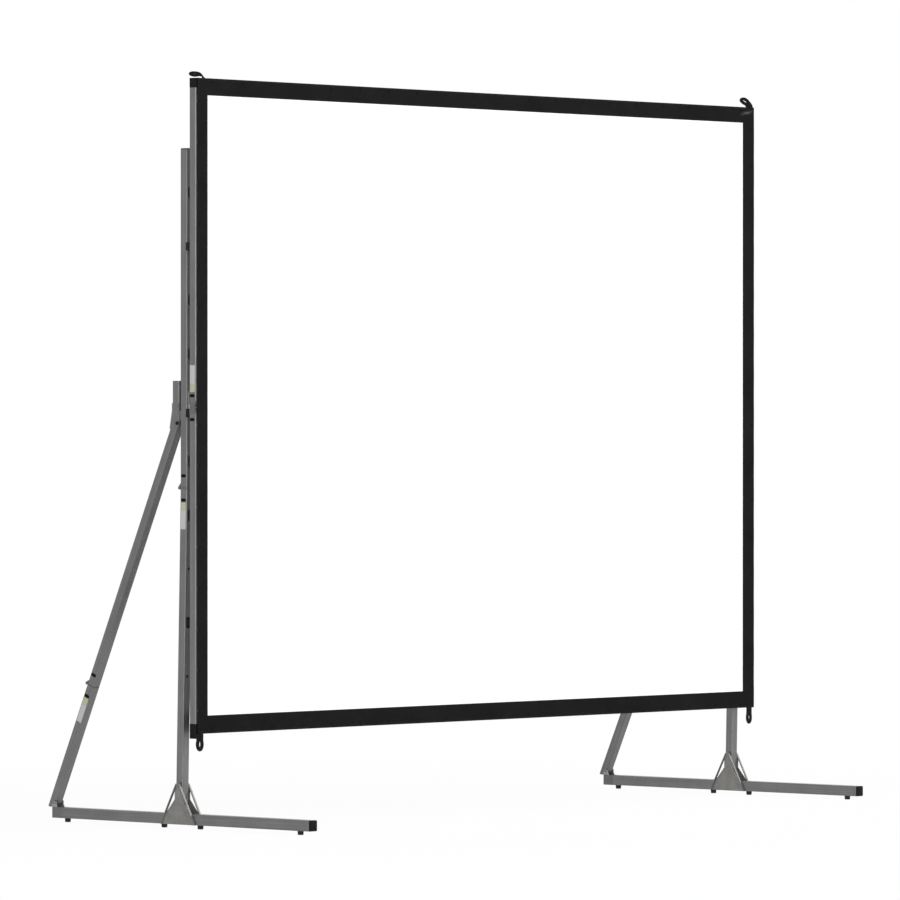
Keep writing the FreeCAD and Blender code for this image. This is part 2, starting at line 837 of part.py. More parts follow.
def make_upper_uprights():
    caps, hinges = [], []
    spigot = upright_tube - 2 * upright_wall - 2 * plug_clearance
    bracket_z = frame_joint_z - bracket_below_joint - bracket_height / 2
    saddle_z = slot_top_z - saddle_step * slot_pitch
    for side, sign in sides:
        x = sign * leg_x
        tube = square_tube_z(
            upright_tube, upright_wall, x, upright_y, upright_joint_z + cap_plate,
            upright_top_z - upright_cap_height,
        )
        for step in upper_slot_steps:
            tube = tube.cut(front_opening(x, slot_top_z - step * slot_pitch, slot_width, slot_height))
        bolt_hole = bolt_radius + hole_clearance
        behind_y = upright_rear_y + overrun
        for z in (bracket_z, saddle_z):
            hole = rod_y(bolt_hole, upright_front_y - overrun, behind_y, sign * bracket_bolt_x, z)
            tube = tube.cut(hole)
        for z in brace_bracket_bolts():
            hole = rod_y(bolt_hole, upright_rear_y - upright_wall - overrun, behind_y, x, z)
            tube = tube.cut(hole)
        key_z = upright_joint_z + upright_key_distance
        tube = tube.cut(key_hole_x(x, upright_tube, upright_y, key_z))
        save(side + "_upright_upper", [tube])
        cap_z = upright_top_z - upright_cap_height
        caps.append(joined([
            square_bar_z(upright_tube, x, upright_y, cap_z, upright_top_z),
            square_bar_z(spigot, x, upright_y, cap_z - corner_spigot_length, cap_z),
        ]))
        half, key = knuckle_set(x, 1, False)
        pin = knuckle_pin(upright_tube, upright_barrel_radius, upright_lug_width)
        pin.translate(vec(x, upright_y, upright_joint_z))
        hinges += [half, key, pin]
    save("upright_caps", caps)
    save("upright_hinges_upper", hinges)


# Heights of the two bolts that hold each brace bracket
def brace_bracket_bolts():
    low = brace_top_pivot_z + brace_bracket_start + brace_bracket_bolt_margin
    high = brace_bracket_top_z - brace_bracket_bolt_margin
    return (low, high)


# A bolt along Y: its head at head_y, its point at end_y
def bolt_y(x, z, head_y, end_y):
    way = 1 if end_y > head_y else -1
    shank = rod_y(bolt_radius, min(head_y, end_y), max(head_y, end_y), x, z)
    out = vec(0, -way, 0)
    bolt = joined([shank, head(bolt_head_radius, bolt_head_height, vec(x, head_y, z), out)])
    top = vec(x, head_y - way * (bolt_head_height + overrun), z)
    return bolt.cut(hexagon(socket_size, socket_depth + overrun, top, out.negative()))


def nut_y(x, z, y0):
    nut = hexagon(nut_size, nut_height, vec(x, y0, z), vec(0, 1, 0))
    return nut.cut(rod_y(bolt_radius + running_clearance, y0 - overrun, y0 + nut_height + overrun, x, z))


# Brackets between the frame and the uprights, each held by a bolt that comes from the
# rear through the upright. The lower bolt of each side runs on into the frame, and the
# upper bracket is an open saddle that the folding half leans into.
def make_frame_brackets():
    brackets, bolts = [], []
    mid_z = frame_joint_z - bracket_below_joint - bracket_height / 2
    saddle_z = slot_top_z - saddle_step * slot_pitch
    hole = bolt_radius + hole_clearance
    lip_front_y = frame_rear_y - bracket_lip_depth
    frame_thread_y = frame_rear_y - thread_depth + hole_clearance
    saddle_thread_y = upright_front_y - thread_depth
    for side, sign in sides:
        pad_outer_x = sign * (half_width - bracket_side_margin)
        pad_inner_x = sign * (leg_x - upright_tube / 2 + bracket_pad_margin)
        lip_x = sign * (half_width - frame_tube - saddle_clearance)
        bolt_x = sign * bracket_bolt_x
        places = ((mid_z, 0.0, frame_thread_y), (saddle_z, saddle_clearance, saddle_thread_y))
        for z, gap, end_y in places:
            low, high = z - bracket_height / 2, z + bracket_height / 2
            bracket = joined([
                box(pad_outer_x, lip_x, frame_rear_y + gap, upright_front_y, low, high),
                box(lip_x, pad_inner_x, lip_front_y, upright_front_y, low, high),
            ])
            hole_end_y = max(end_y, frame_rear_y - overrun)
            bracket = bracket.cut(rod_y(hole, hole_end_y, upright_front_y + overrun, bolt_x, z))
            brackets.append(bracket)
            bolts.append(bolt_y(bolt_x, z, upright_rear_y, end_y))
    return brackets, bolts


# Brackets behind the uprights that carry the tops of the braces: a short tube, and an
# ear plate on each side of it that reaches down past the pivot
def make_brace_brackets():
    brackets, bolts, pivots = [], [], []
    low_z = brace_top_pivot_z + brace_bracket_start
    front_y = upright_rear_y + brace_bracket_spacing
    axis_y = front_y + brace_tube / 2
    rear_y = front_y + brace_tube
    pivot_y = upright_y + brace_top_pivot_y
    hole = bolt_radius + hole_clearance
    inner = brace_tube / 2 + ear_clearance
    outer = inner + ear_thickness
    ear_front_y = upright_rear_y + ear_upright_gap
    ear_low_z = brace_top_pivot_z - ear_drop
    ear_high_z = low_z + ear_overlap
    for side, sign in sides:
        x = sign * leg_x
        tube = square_tube_z(brace_tube, brace_wall, x, axis_y, low_z, brace_bracket_top_z)
        lid = square_bar_z(brace_tube, x, axis_y, brace_bracket_top_z - brace_bracket_cap,
                           brace_bracket_top_z)
        tube = joined([tube, lid])
        for z in brace_bracket_bolts():
            tube = tube.cut(rod_y(hole, front_y - overrun, rear_y + overrun, x, z))
            spacer = rod_y(spacer_radius, upright_rear_y, front_y, x, z)
            bolts.append(spacer.cut(rod_y(hole, upright_rear_y - overrun, front_y + overrun, x, z)))
            nut_y0 = upright_rear_y - upright_wall - nut_height
            bolts.append(bolt_y(x, z, rear_y, nut_y0))
            bolts.append(nut_y(x, z, nut_y0))
        brackets.append(tube)
        outline = [
            (front_y, ear_high_z),
            (front_y, low_z),
            (ear_front_y, brace_top_pivot_z),
            (pivot_y, ear_low_z),
            (rear_y + ear_rear_slope, ear_low_z),
            (rear_y, low_z),
            (rear_y, ear_high_z),
        ]
        for way in (-1, 1):
            ear = plate_x(outline, x + way * inner, x + way * outer)
            bore = brace_pivot_radius + running_clearance
            reach = outer + overrun
            brackets.append(ear.cut(rod_x(bore, x - reach, x + reach, pivot_y, brace_top_pivot_z)))
        pivots.append(pivot_bolt_x(x, outer, pivot_y, brace_top_pivot_z, brace_pivot_radius,
                                   brace_pivot_head_radius, brace_pivot_head_height))
    save("brace_brackets", brackets)
    save("brace_top_bolts", pivots)
    return bolts


# A bolt along X with a round head on each side of what it holds
def pivot_bolt_x(x, reach, y, z, radius, head_radius, head_height):
    parts = [rod_x(radius, x - reach, x + reach, y, z)]
    for way in (-1, 1):
        parts.append(head(head_radius, head_height, vec(x + way * reach, y, z), vec(way, 0, 0)))
    bolt = joined(parts)
    for way in (-1, 1):
        top = vec(x + way * (reach + head_height + overrun), y, z)
        socket = hexagon(socket_size, socket_depth + overrun, top, vec(-way, 0, 0))
        bolt = bolt.cut(socket)
    return bolt


# The lower half of a leg is modelled upright, then leaned about the knuckle pin.
def leaned(shape):
    shape = shape.copy()
    pin = vec(0, upright_y + knuckle_pin_offset, upright_joint_z)
    shape.rotate(pin, vec(1, 0, 0), leg_lean)
    return shape


# Lower half of an upright, with its foot plug, knuckle and latch button
def make_lower_upright(side, sign):
    x = sign * leg_x
    sweep = gusset_pivot_z - base_top_z - upright_foot_clearance
    foot_z = leg_pivot_z - math.sqrt(sweep ** 2 - (upright_tube / 2) ** 2)
    tube_z = foot_z + upright_foot_cap
    tube = square_tube_z(
        upright_tube, upright_wall, x, upright_y, tube_z, upright_joint_z - cap_plate
    )
    for step in lower_slot_steps:
        tube = tube.cut(front_opening(x, slot_top_z - step * slot_pitch, slot_width, slot_height))
    for step in lower_hole_steps:
        tube = tube.cut(front_opening(x, slot_top_z - step * slot_pitch, 2 * round_hole_radius, 0))
    reach = upright_tube / 2 + overrun
    pivot_hole = rod_x(gusset_pivot_radius + running_clearance, x - reach, x + reach, upright_y,
                       leg_pivot_z)
    key_z = upright_joint_z - upright_key_distance
    button_z = upright_joint_z - button_distance
    pocket = button_pocket(x, upright_y, button_z, upright_tube)
    tube = tube.cut(pivot_hole).cut(key_hole_x(x, upright_tube, upright_y, key_z)).cut(pocket)
    save(side + "_upright_lower", [leaned(tube)])
    half, key = knuckle_set(x, -1, True)
    save(side + "_upright_hinge_lower", [leaned(half.cut(pocket)), leaned(key)])
    spigot = upright_tube - 2 * upright_wall - 2 * plug_clearance
    foot = joined([
        square_bar_z(upright_tube, x, upright_y, foot_z, tube_z),
        square_bar_z(spigot, x, upright_y, tube_z, tube_z + upright_foot_plug),
    ])
    save(side + "_upright_foot", [leaned(foot)])
    save(side + "_upright_latch_button", [leaned(button(x, upright_y, button_z, upright_tube))])


# Gusset plate: a folded A of sheet metal with two windows and outward flanges
def gusset_plate(x, way):
    inner = base_tube / 2
    outer = inner + gusset_thickness
    x0, x1 = x + way * inner, x + way * outer
    # The slanted edge is the tangent from the plate's foot to the rounded apex.
    apex_z = gusset_apex_z - gusset_apex_radius
    run, rise = gusset_half_width, apex_z - foot_height
    length = math.hypot(run, rise)
    lean = math.atan2(rise, run) + math.asin(gusset_apex_radius / length)
    tangent = math.sqrt(length ** 2 - gusset_apex_radius ** 2)
    edge_y = gusset_half_width - tangent * math.cos(lean)
    edge_z = foot_height + tangent * math.sin(lean)
    outline = [
        (base_y - gusset_half_width, foot_height),
        (base_y + gusset_half_width, foot_height),
        (base_y + edge_y, edge_z),
        (base_y - edge_y, edge_z),
    ]
    plate = joined([
        plate_x(outline, x0, x1),
        rod_x(gusset_apex_radius, x0, x1, base_y, apex_z),
    ])
    # Inner edge of the slanted strip, as z over the distance from the middle
    drop = math.tan(lean)
    strip = gusset_strip / math.cos(math.pi / 2 - lean)

    def strip_z(y):
        return foot_height + (gusset_half_width - strip - y) * drop

    web_slope = (gusset_web_height_centre - gusset_web_height_edge) / (
        gusset_web_edge - gusset_window_inner
    )

    def web_z(y):
        return gusset_web_height_centre - (y - gusset_window_inner) * web_slope

    gap = strip_z(gusset_window_inner) - gusset_web_height_centre
    meet_y = gusset_window_inner + gap / (drop - web_slope)
    for mirror in (-1, 1):
        window = plate_x(
            [
                (base_y + mirror * gusset_window_inner, gusset_web_height_centre),
                (base_y + mirror * gusset_window_inner, strip_z(gusset_window_inner)),
                (base_y + mirror * meet_y, web_z(meet_y)),
            ],
            min(x0, x1) - overrun,
            max(x0, x1) + overrun,
        )
        plate = plate.cut(window)
        # Flange along the slanted edge, bent outwards
        inward_y = gusset_thickness * math.sin(lean)
        inward_z = gusset_thickness * math.cos(lean)
        flange = plate_x(
            [
                (base_y + mirror * gusset_half_width, foot_height),
                (base_y + mirror * edge_y, edge_z),
                (base_y + mirror * (edge_y - inward_y), edge_z - inward_z),
                (base_y + mirror * (gusset_half_width - gusset_thickness / math.sin(lean)), foot_height),
            ],
            x0,
            x1 + way * (gusset_flange - gusset_thickness),
        )
        plate = plate.fuse(flange)
    plate = plate.removeSplitter()
    reach = outer + overrun
    bore = gusset_pivot_radius + running_clearance
    plate = plate.cut(rod_x(bore, x - reach, x + reach, base_y, gusset_pivot_z))
    for mirror in (-1, 1):
        y = base_y + mirror * gusset_rivet_y
        plate = plate.cut(rod_x(rivet_radius + hole_clearance, x - reach, x + reach, y, base_mid_z))
    return plate


# Base tube with its end plug, rear fitting, gussets, bolts and feet
def make_base(side, sign):
    x = sign * leg_x
    front_y = base_y - base_half
    rear_y = base_y + base_half
    tube_front_y = front_y + base_plug_lip
    fitting_y = rear_y - rear_fitting_length
    tube = square_tube_y(base_tube, base_wall, x, tube_front_y, fitting_y, base_mid_z)
    reach = base_tube / 2 + overrun
    for mirror in (-1, 1):
        y = base_y + mirror * gusset_rivet_y
        tube = tube.cut(rod_x(rivet_radius + hole_clearance, x - reach, x + reach, y, base_mid_z))
    save(side + "_base_tube", [tube])
    half = base_tube / 2
    spigot = half - base_wall - plug_clearance
    save(side + "_base_end_plug", [joined([
        eased_box(x - half, x + half, front_y, tube_front_y, foot_height, base_top_z),
        box(x - spigot, x + spigot, tube_front_y, tube_front_y + base_plug_length,
            base_mid_z - spigot, base_mid_z + spigot),
    ])])
    save(side + "_base_rear_fitting", [rear_fitting(x, fitting_y, rear_y, spigot)])
    save(side + "_gusset_plates", [gusset_plate(x, -1), gusset_plate(x, 1)])
    outer = half + gusset_thickness
    pivot = pivot_bolt_x(x, outer, base_y, gusset_pivot_z, gusset_pivot_radius,
                         gusset_pivot_head_radius, gusset_pivot_head_height)
    bolts = [pivot]
    leg_face = upright_tube / 2
    for way in (-1, 1):
        washer = rod_x(gusset_washer_radius, x + way * (leg_face + gusset_washer_clearance),
                       x + way * half, base_y, gusset_pivot_z)
        bore = gusset_pivot_radius + running_clearance
        bolts.append(washer.cut(rod_x(bore, x - reach, x + reach, base_y, gusset_pivot_z)))
    for mirror in (-1, 1):
        bolts.append(rivet_x(x, 2 * outer, base_y + mirror * gusset_rivet_y, base_mid_z))
    save(side + "_gusset_bolts", bolts)
    foot_places = (
        front_y + foot_from_end,
        base_y - foot_from_upright,
        base_y + foot_from_upright,
        rear_y - foot_from_end,
    )
    save(side + "_rubber_feet", [rubber_foot(x, y) for y in foot_places])


# Tapered foot with the recess of its screw underneath
def rubber_foot(x, y):
    foot = Part.makeCone(foot_end_radius, foot_radius, foot_height, vec(x, y, 0), vec(0, 0, 1))
    return foot.cut(rod_z(foot_recess_radius, -overrun, foot_recess_depth, x, y))


# Casting in the rear end of the base, with two ears that seat the foot bolt of the brace
def rear_fitting(x, y0, y1, spigot):
    half = base_tube / 2
    body = eased_box(x - half, x + half, y0, y1, foot_height, base_top_z)
    plug = box(x - spigot, x + spigot, y0 - rear_spigot_length, y0,
               base_mid_z - spigot, base_mid_z + spigot)
    pivot_y = upright_y + foot_pivot_y
    seat_radius = brace_pivot_radius + seat_clearance
    horn_rear_y = pivot_y - seat_radius
    horn_front_y = horn_rear_y - seat_horn_width
    horn_top_z = foot_pivot_z + seat_horn_height
    run_y = horn_front_y - seat_front_run
    rise = horn_top_z - base_top_z
    outline = [
        (run_y, base_top_z),
        (y1, base_top_z),
        (y1, foot_pivot_z - seat_radius),
        (pivot_y, foot_pivot_z - seat_radius),
        (horn_rear_y, foot_pivot_z - seat_radius),
        (horn_rear_y, horn_top_z),
        (horn_front_y, horn_top_z),
    ]
    ears = []
    hollow_y = (run_y + horn_front_y) / 2
    hollow_z = base_top_z + rise / 2
    for way in (-1, 1):
        near = x + way * half
        far = x + way * (half - seat_ear_thickness)
        start = min(near, far)
        corners = [vec(start, y, z) for y, z in outline]
        edges = [Part.makeLine(a, b) for a, b in zip(corners, corners[1:])]
        hollow = Part.Arc(corners[-1], vec(start, hollow_y + seat_sag, hollow_z - seat_sag), corners[0])
        face = Part.Face(Part.Wire(edges + [hollow.toShape()]))
        ear = face.extrude(vec(seat_ear_thickness, 0, 0))
        # The corner in front of the bolt is rounded to its seat.
        corner = box(near, far, horn_rear_y, pivot_y, foot_pivot_z - seat_radius, foot_pivot_z)
        end = start + seat_ear_thickness
        round_seat = rod_x(seat_radius, start - overrun, end + overrun, pivot_y, foot_pivot_z)
        ears.append(ear.fuse(corner.cut(round_seat)))
    return joined([body, plug] + ears)


# A brace is modelled hanging straight down from its top pivot, then swung out.
def swung(shape, x):
    shape = shape.copy()
    shape.rotate(vec(0, 0, 0), vec(1, 0, 0), math.degrees(brace_angle))
    shape.translate(vec(x, upright_y + brace_top_pivot_y, brace_top_pivot_z))
    return shape


def make_brace(side, sign):
    x = sign * leg_x
    knee_z = -brace_knee_distance
    reach = brace_tube / 2 + overrun

    def knee_half(way, middle):
        half = knuckle_half(
            brace_tube, brace_wall, way, brace_barrel_radius, brace_lug_width,
            brace_lug_height, middle, brace_key_distance,
        )
        half.translate(vec(0, brace_axis_y, knee_z))
        key = key_x(0, brace_tube, brace_axis_y, knee_z + way * brace_key_distance)
        return half, key

    upper = square_tube_z(brace_tube, brace_wall, 0, brace_axis_y, knee_z + cap_plate, brace_top_end)
    upper = upper.cut(rod_x(brace_pivot_radius + running_clearance, -reach, reach, 0, 0))
    # The top end is bevelled so that it clears the upright when the brace is folded.
    free = brace_top_pivot_y - upright_tube / 2 - brace_end_clearance
    bevel = box(-reach, reach, -brace_tube - free, -free, -brace_tube, brace_tube)
    bevel.rotate(vec(0, 0, 0), vec(1, 0, 0), -brace_folded_angle)
    upper = upper.cut(bevel)
    key_z = knee_z + brace_key_distance
    upper = upper.cut(key_hole_x(0, brace_tube, brace_axis_y, key_z))
    save(side + "_brace_upper", [swung(upper, x)])
    half, key = knee_half(1, False)
    pin = knuckle_pin(brace_tube, brace_barrel_radius, brace_lug_width)
    pin.translate(vec(0, brace_axis_y, knee_z))
    save(side + "_brace_knee_upper", [swung(shape, x) for shape in (half, key, pin)])

    lower = square_tube_z(
        brace_tube, brace_wall, 0, brace_axis_y, -brace_length, knee_z - cap_plate
    )
    foot_hole = rod_x(brace_pivot_radius + running_clearance, -reach, reach, 0, -brace_span)
    button_z = knee_z - button_distance
    pocket = button_pocket(0, brace_axis_y, button_z, brace_tube)
    key_z = knee_z - brace_key_distance
    lower = lower.cut(foot_hole).cut(pocket)
    lower = lower.cut(key_hole_x(0, brace_tube, brace_axis_y, key_z))
    lower = swung(lower, x)
    # The square end is trimmed level where it would meet the base.
    floor_z = base_top_z + brace_foot_clearance
    rear_y = upright_y + rear_corner_y + overrun
    trim = box(x - reach, x + reach, base_y + base_half - rear_fitting_length, rear_y, 0, floor_z)
    save(side + "_brace_lower", [lower.cut(trim)])
    half, key = knee_half(-1, True)
    save(side + "_brace_knee_lower", [swung(half.cut(pocket), x), swung(key, x)])
    grip = base_tube / 2 + running_clearance
    save(side + "_brace_foot_bolt", [pivot_bolt_x(
        x, grip, upright_y + foot_pivot_y, foot_pivot_z, brace_pivot_radius,
        brace_pivot_head_radius, brace_pivot_head_height,
    )])
    push = button(0, brace_axis_y, button_z, brace_tube)
    save(side + "_knee_latch_button", [swung(push, x)])


make_frame()
make_frame_hinges()
make_screen()
make_snaps()
make_loops()
make_upper_uprights()
frame_brackets, frame_bolts = make_frame_brackets()
bracket_bolts = make_brace_brackets()
save("frame_brackets", frame_brackets)
save("mounting_bolts", frame_bolts + bracket_bolts)
for leg_side, leg_sign in sides:
    make_lower_upright(leg_side, leg_sign)
    make_base(leg_side, leg_sign)
    make_brace(leg_side, leg_sign)
print("brace angle", round(math.degrees(brace_angle), 3), "upright y", round(upright_y, 3))
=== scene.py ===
import json
import math

import bpy
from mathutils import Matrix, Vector, noise


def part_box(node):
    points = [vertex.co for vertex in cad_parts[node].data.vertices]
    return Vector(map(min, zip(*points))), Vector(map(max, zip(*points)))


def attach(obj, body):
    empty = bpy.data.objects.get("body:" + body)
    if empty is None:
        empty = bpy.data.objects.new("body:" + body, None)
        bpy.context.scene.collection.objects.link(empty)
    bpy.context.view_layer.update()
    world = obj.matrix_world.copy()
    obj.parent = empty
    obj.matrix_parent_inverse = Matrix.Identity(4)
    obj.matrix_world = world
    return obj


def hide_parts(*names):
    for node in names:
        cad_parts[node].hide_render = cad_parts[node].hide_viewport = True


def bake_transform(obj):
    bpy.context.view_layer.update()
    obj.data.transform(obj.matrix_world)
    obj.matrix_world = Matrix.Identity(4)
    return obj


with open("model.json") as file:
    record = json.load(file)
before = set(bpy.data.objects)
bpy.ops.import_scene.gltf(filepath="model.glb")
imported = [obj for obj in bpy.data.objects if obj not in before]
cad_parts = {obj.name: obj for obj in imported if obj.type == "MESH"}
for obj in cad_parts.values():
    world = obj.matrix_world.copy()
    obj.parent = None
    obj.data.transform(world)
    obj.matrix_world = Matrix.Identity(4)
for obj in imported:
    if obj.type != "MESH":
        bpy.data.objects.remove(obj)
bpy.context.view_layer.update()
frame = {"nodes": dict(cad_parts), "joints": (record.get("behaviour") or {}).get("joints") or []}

nodes = frame["nodes"]
joints = {joint["name"]: joint for joint in frame["joints"]}


def jointPlace(name):
    return Vector(joints[name]["pos_m"])


def boxMiddle(node):
    low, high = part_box(node)
    return (low + high) / 2


def halfAcross(node, axis):
    low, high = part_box(node)
    return (high[axis] - low[axis]) / 2


# the axes of the tubes, and the angles at which the lower leg and the brace lean
rigging = {
    "frameHalf": halfAcross("bottom_rail", 1),
    "frameOutside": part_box("side_tubes_lower")[1].x,
    "frameY": boxMiddle("bottom_rail").y,
    "legX": jointPlace("right_leg_fold").x,
    "uprightHalf": halfAcross("right_upright_upper", 0),
    "uprightY": boxMiddle("right_upright_upper").y,
    "braceHalf": halfAcross("right_brace_upper", 0),
    "foldZ": jointPlace("frame_fold").z,
    "legPinBeyond": 0.0063,  # from the rear wall of the upright to the pin of its joint
    "kneePinBeyond": 0.0058,
}


def leanOf(start, end):
    return math.atan2(end.y - start.y, start.z - end.z)


def findLeans():
    pin, foot = jointPlace("right_leg_fold"), jointPlace("right_base_fold")
    aside = rigging["uprightHalf"] + rigging["legPinBeyond"]
    legLean = leanOf(pin, foot) + math.asin(aside / (foot - pin).length)
    return legLean, leanOf(jointPlace("right_brace_swing"), boxMiddle("right_brace_foot_bolt"))


legLean, braceLean = findLeans()

cameraView = {
    "place": (-18.591, -16.7148, 1.413),
    "ahead": (0.742, 0.6704),
    "pitchDown": 0.218,  # degrees
    "lens": 273.4,
    "sensor": 36.0,
    "reach": 200.0,
}


def placeCamera():
    lens = bpy.data.cameras.new("camera")
    lens.lens = cameraView["lens"]
    lens.sensor_width = cameraView["sensor"]
    lens.clip_end = cameraView["reach"]
    camera = bpy.data.objects.new("camera", lens)
    bpy.context.scene.collection.objects.link(camera)
    aheadX, aheadY = cameraView["ahead"]
    camera.location = cameraView["place"]
    pitch = math.radians(90 - cameraView["pitchDown"])
    camera.rotation_euler = (pitch, 0, math.atan2(-aheadX, aheadY))
    bpy.context.scene.camera = camera


placeCamera()
print("camera placed")


# one socket of a node, so that sums on sockets read as sums
class Signal:
    def __init__(self, board, socket):
        self.board = board
        self.socket = socket

    def maths(self, operation, *values):
        return self.board.add("ShaderNodeMath", {"operation": operation}, values)

    def __add__(self, other):
        return self.maths("ADD", self, other)

    def __radd__(self, other):
        return self.maths("ADD", other, self)

    def __sub__(self, other):
        return self.maths("SUBTRACT", self, other)

    def __rsub__(self, other):
        return self.maths("SUBTRACT", other, self)

    def __mul__(self, other):
        return self.maths("MULTIPLY", self, other)

    def __rmul__(self, other):
        return self.maths("MULTIPLY", other, self)

    def __gt__(self, other):
        return self.maths("GREATER_THAN", self, other)

    def __lt__(self, other):
        return self.maths("LESS_THAN", self, other)

    def __abs__(self):
        return self.maths("ABSOLUTE", self)


# a node tree that takes one node at a time: its type, its settings, then its sockets
class Board:
    def __init__(self, tree):
        self.tree = tree
        tree.nodes.clear()

    def add(self, kind, settings=None, values=(), out=0):
        made = self.tree.nodes.new(kind)
        for name, setting in (settings or {}).items():
            if name == "stops":
                self.setStops(made.color_ramp.elements, setting)
            else:
                setattr(made, name, setting)
        pairs = values.items() if isinstance(values, dict) else enumerate(values)
        for key, value in pairs:
            if isinstance(value, Signal):
                self.tree.links.new(value.socket, made.inputs[key])
            else:
                made.inputs[key].default_value = value
        return Signal(self, made.outputs[out]) if len(made.outputs) else None

    def setStops(self, elements, stops):
        while len(elements) < len(stops):
            elements.new(0.5)
        for element, (place, colour) in zip(elements, stops):
            element.position = place
            element.color = (*colour, 1)

    def split(self, vector):
        first = self.add("ShaderNodeSeparateXYZ", None, (vector,))
        return [Signal(self, socket) for socket in first.socket.node.outputs]

    def mix(self, factor, first, second):
        pair = [value if isinstance(value, Signal) else (*value, 1) for value in (first, second)]
        values = {0: factor, 6: pair[0], 7: pair[1]}
        return self.add("ShaderNodeMix", {"data_type": "RGBA"}, values, 2)

    def place(self, turn=(0, 0, 0), scale=(1, 1, 1), source="Object"):
        start = self.add("ShaderNodeTexCoord", None, (), source)
        if any(turn):
            start = self.add("ShaderNodeMapping", None, {"Vector": start, "Rotation": turn})
        return self.add("ShaderNodeMapping", None, {"Vector": start, "Scale": scale})

    def cloud(self, vector, size, detail=3.0, rough=0.55):
        values = {"Vector": vector, "Scale": size, "Detail": detail, "Roughness": rough}
        return self.add("ShaderNodeTexNoise", None, values)

    def remap(self, value, low, high, first, second):
        return self.add("ShaderNodeMapRange", None, (value, low, high, first, second))

    # the surface shader and the output; what isn't a signal is set on the shader itself
    def surface(self, values, height=None, depth=0.0002, strength=0.5):
        if height is not None:
            bump = {"Height": height, "Distance": depth, "Strength": strength}
            values = dict(values, Normal=self.add("ShaderNodeBump", None, bump))
        shader = self.add("ShaderNodeBsdfPrincipled", None, values)
        self.add("ShaderNodeOutputMaterial", None, {"Surface": shader})


def newFinish(name):
    material = bpy.data.materials.new(name)
    material.use_nodes = True
    return material, Board(material.node_tree)


tubeLook = {
    "dark": (0.115, 0.117, 0.117),
    "light": (0.19, 0.192, 0.19),
    "dull": (0.08, 0.079, 0.076),
    "metallic": 0.7,
    "roughness": 0.34,
    "streaksAcross": 900.0,
    "streaksAlong": 3.0,
    "bandsAcross": 120.0,
    "bandsAlong": 0.9,
    "mottle": 14.0,
    "scuffAcross": 210.0,
    "scuffAlong": 26.0,
}


# drawn aluminium, its streaks along one of the axes or along the slanting brace
def drawnAluminium(name, along, turn=(0, 0, 0)):
    material, board = newFinish(name)

    def stretched(across, lengthways):
        scale = [across, across, across]
        scale[along] = lengthways
        return board.place(turn, scale)

    streaks = board.cloud(stretched(tubeLook["streaksAcross"], tubeLook["streaksAlong"]), 1.0, 4.0)
    bands = board.cloud(stretched(tubeLook["bandsAcross"], tubeLook["bandsAlong"]), 1.0, 2.0)
    mottle = board.cloud(board.place(), tubeLook["mottle"], 4.0, 0.6)
    scuffs = board.cloud(stretched(tubeLook["scuffAcross"], tubeLook["scuffAlong"]), 1.0, 5.0, 0.7)
    worn = board.remap(scuffs, 0.62, 0.74, 0.0, 0.55)
    tone = board.remap(streaks * 0.5 + bands * 0.3 + mottle * 0.2, 0.36, 0.64, 0.0, 1.0)
    colour = board.mix(tone, tubeLook["dark"], tubeLook["light"])
    colour = board.mix(worn, colour, tubeLook["dull"])
    roughness = tubeLook["roughness"] - 0.07 + 0.14 * tone + 0.16 * worn
    values = {"Base Color": colour, "Roughness": roughness, "Metallic": tubeLook["metallic"]}
    board.surface(values, streaks * 0.6 + scuffs * 0.4, 0.00012, 0.35)
    return material


castingLook = {
    "dark": (0.11, 0.112, 0.112),
    "light": (0.18, 0.182, 0.18),
    "key": (0.003, 0.003, 0.003),
    # painted highlight colour for the ears above the seat height
    "seat": (0.3, 0.3, 0.295),
    "seatHeight": 0.0525,
    "metallic": 0.65,
    "roughness": 0.42,
    "specular": 0.05,
    "grain": 650.0,
    "pits": 240.0,
}


# cast joint parts; the ends of the keys stand beyond the tube's sides and are black, and
#  the ears that seat a bolt are painted lighter, a painted highlight over the shade they fall in
def castAluminium(name, axisX=0.0, halfTube=0.0):
    material, board = newFinish(name)
    place = board.place()
    grain = board.cloud(place, castingLook["grain"], 3.0, 0.6)
    pits = board.cloud(place, castingLook["pits"], 2.0, 0.5)
    tone = board.remap(grain * 0.4 + pits * 0.6, 0.35, 0.65, 0.0, 1.0)
    colour = board.mix(tone, castingLook["dark"], castingLook["light"])
    roughness = castingLook["roughness"] + 0.12 * tone
    metallic = castingLook["metallic"]
    if halfTube:
        sideways = board.split(board.place())[0]
        isKey = abs(abs(sideways) - axisX) > halfTube + 0.0002
        colour = board.mix(isKey, colour, castingLook["key"])
        metallic = metallic * (1.0 - isKey)
        roughness = roughness + 0.08 * isKey
    else:
        # painted highlight: everything above the seat height is lightened to stand in for light on
        # the shaded ears
        paintedSeatHighlight = board.split(board.place())[2] > castingLook["seatHeight"]
        colour = board.mix(paintedSeatHighlight, colour, castingLook["seat"])
    values = {
        "Base Color": colour,
        "Roughness": roughness,
        "Metallic": metallic,
        "Specular IOR Level": castingLook["specular"],
    }
    board.surface(values, grain * 0.7 + pits * 0.3, 0.0002, 0.4)
    return material


# painted or plated sheet and bar: two tones, chips or blooms, and orange peel
def coatedSteel(
    name, dark, light, spot, metallic, roughness,
    peel=420.0, spots=75.0, spotShare=0.66, specular=0.5,
):
    material, board = newFinish(name)
    place = board.place()
    peeled = board.cloud(place, peel, 2.0, 0.5)
    broad = board.cloud(place, 22.0, 4.0, 0.6)
    chips = board.cloud(place, spots, 6.0, 0.72)
    chipped = board.remap(chips, spotShare, spotShare + 0.05, 0.0, 0.8)
    tone = board.remap(peeled * 0.4 + broad * 0.6, 0.38, 0.62, 0.0, 1.0)
    colour = board.mix(chipped, board.mix(tone, dark, light), spot)
    values = {
        "Base Color": colour,
        "Roughness": roughness + 0.1 * tone,
        "Metallic": metallic,
        "Specular IOR Level": specular,
    }
    board.surface(values, peeled - 0.4 * chipped, 0.00015, 0.45)
    return material


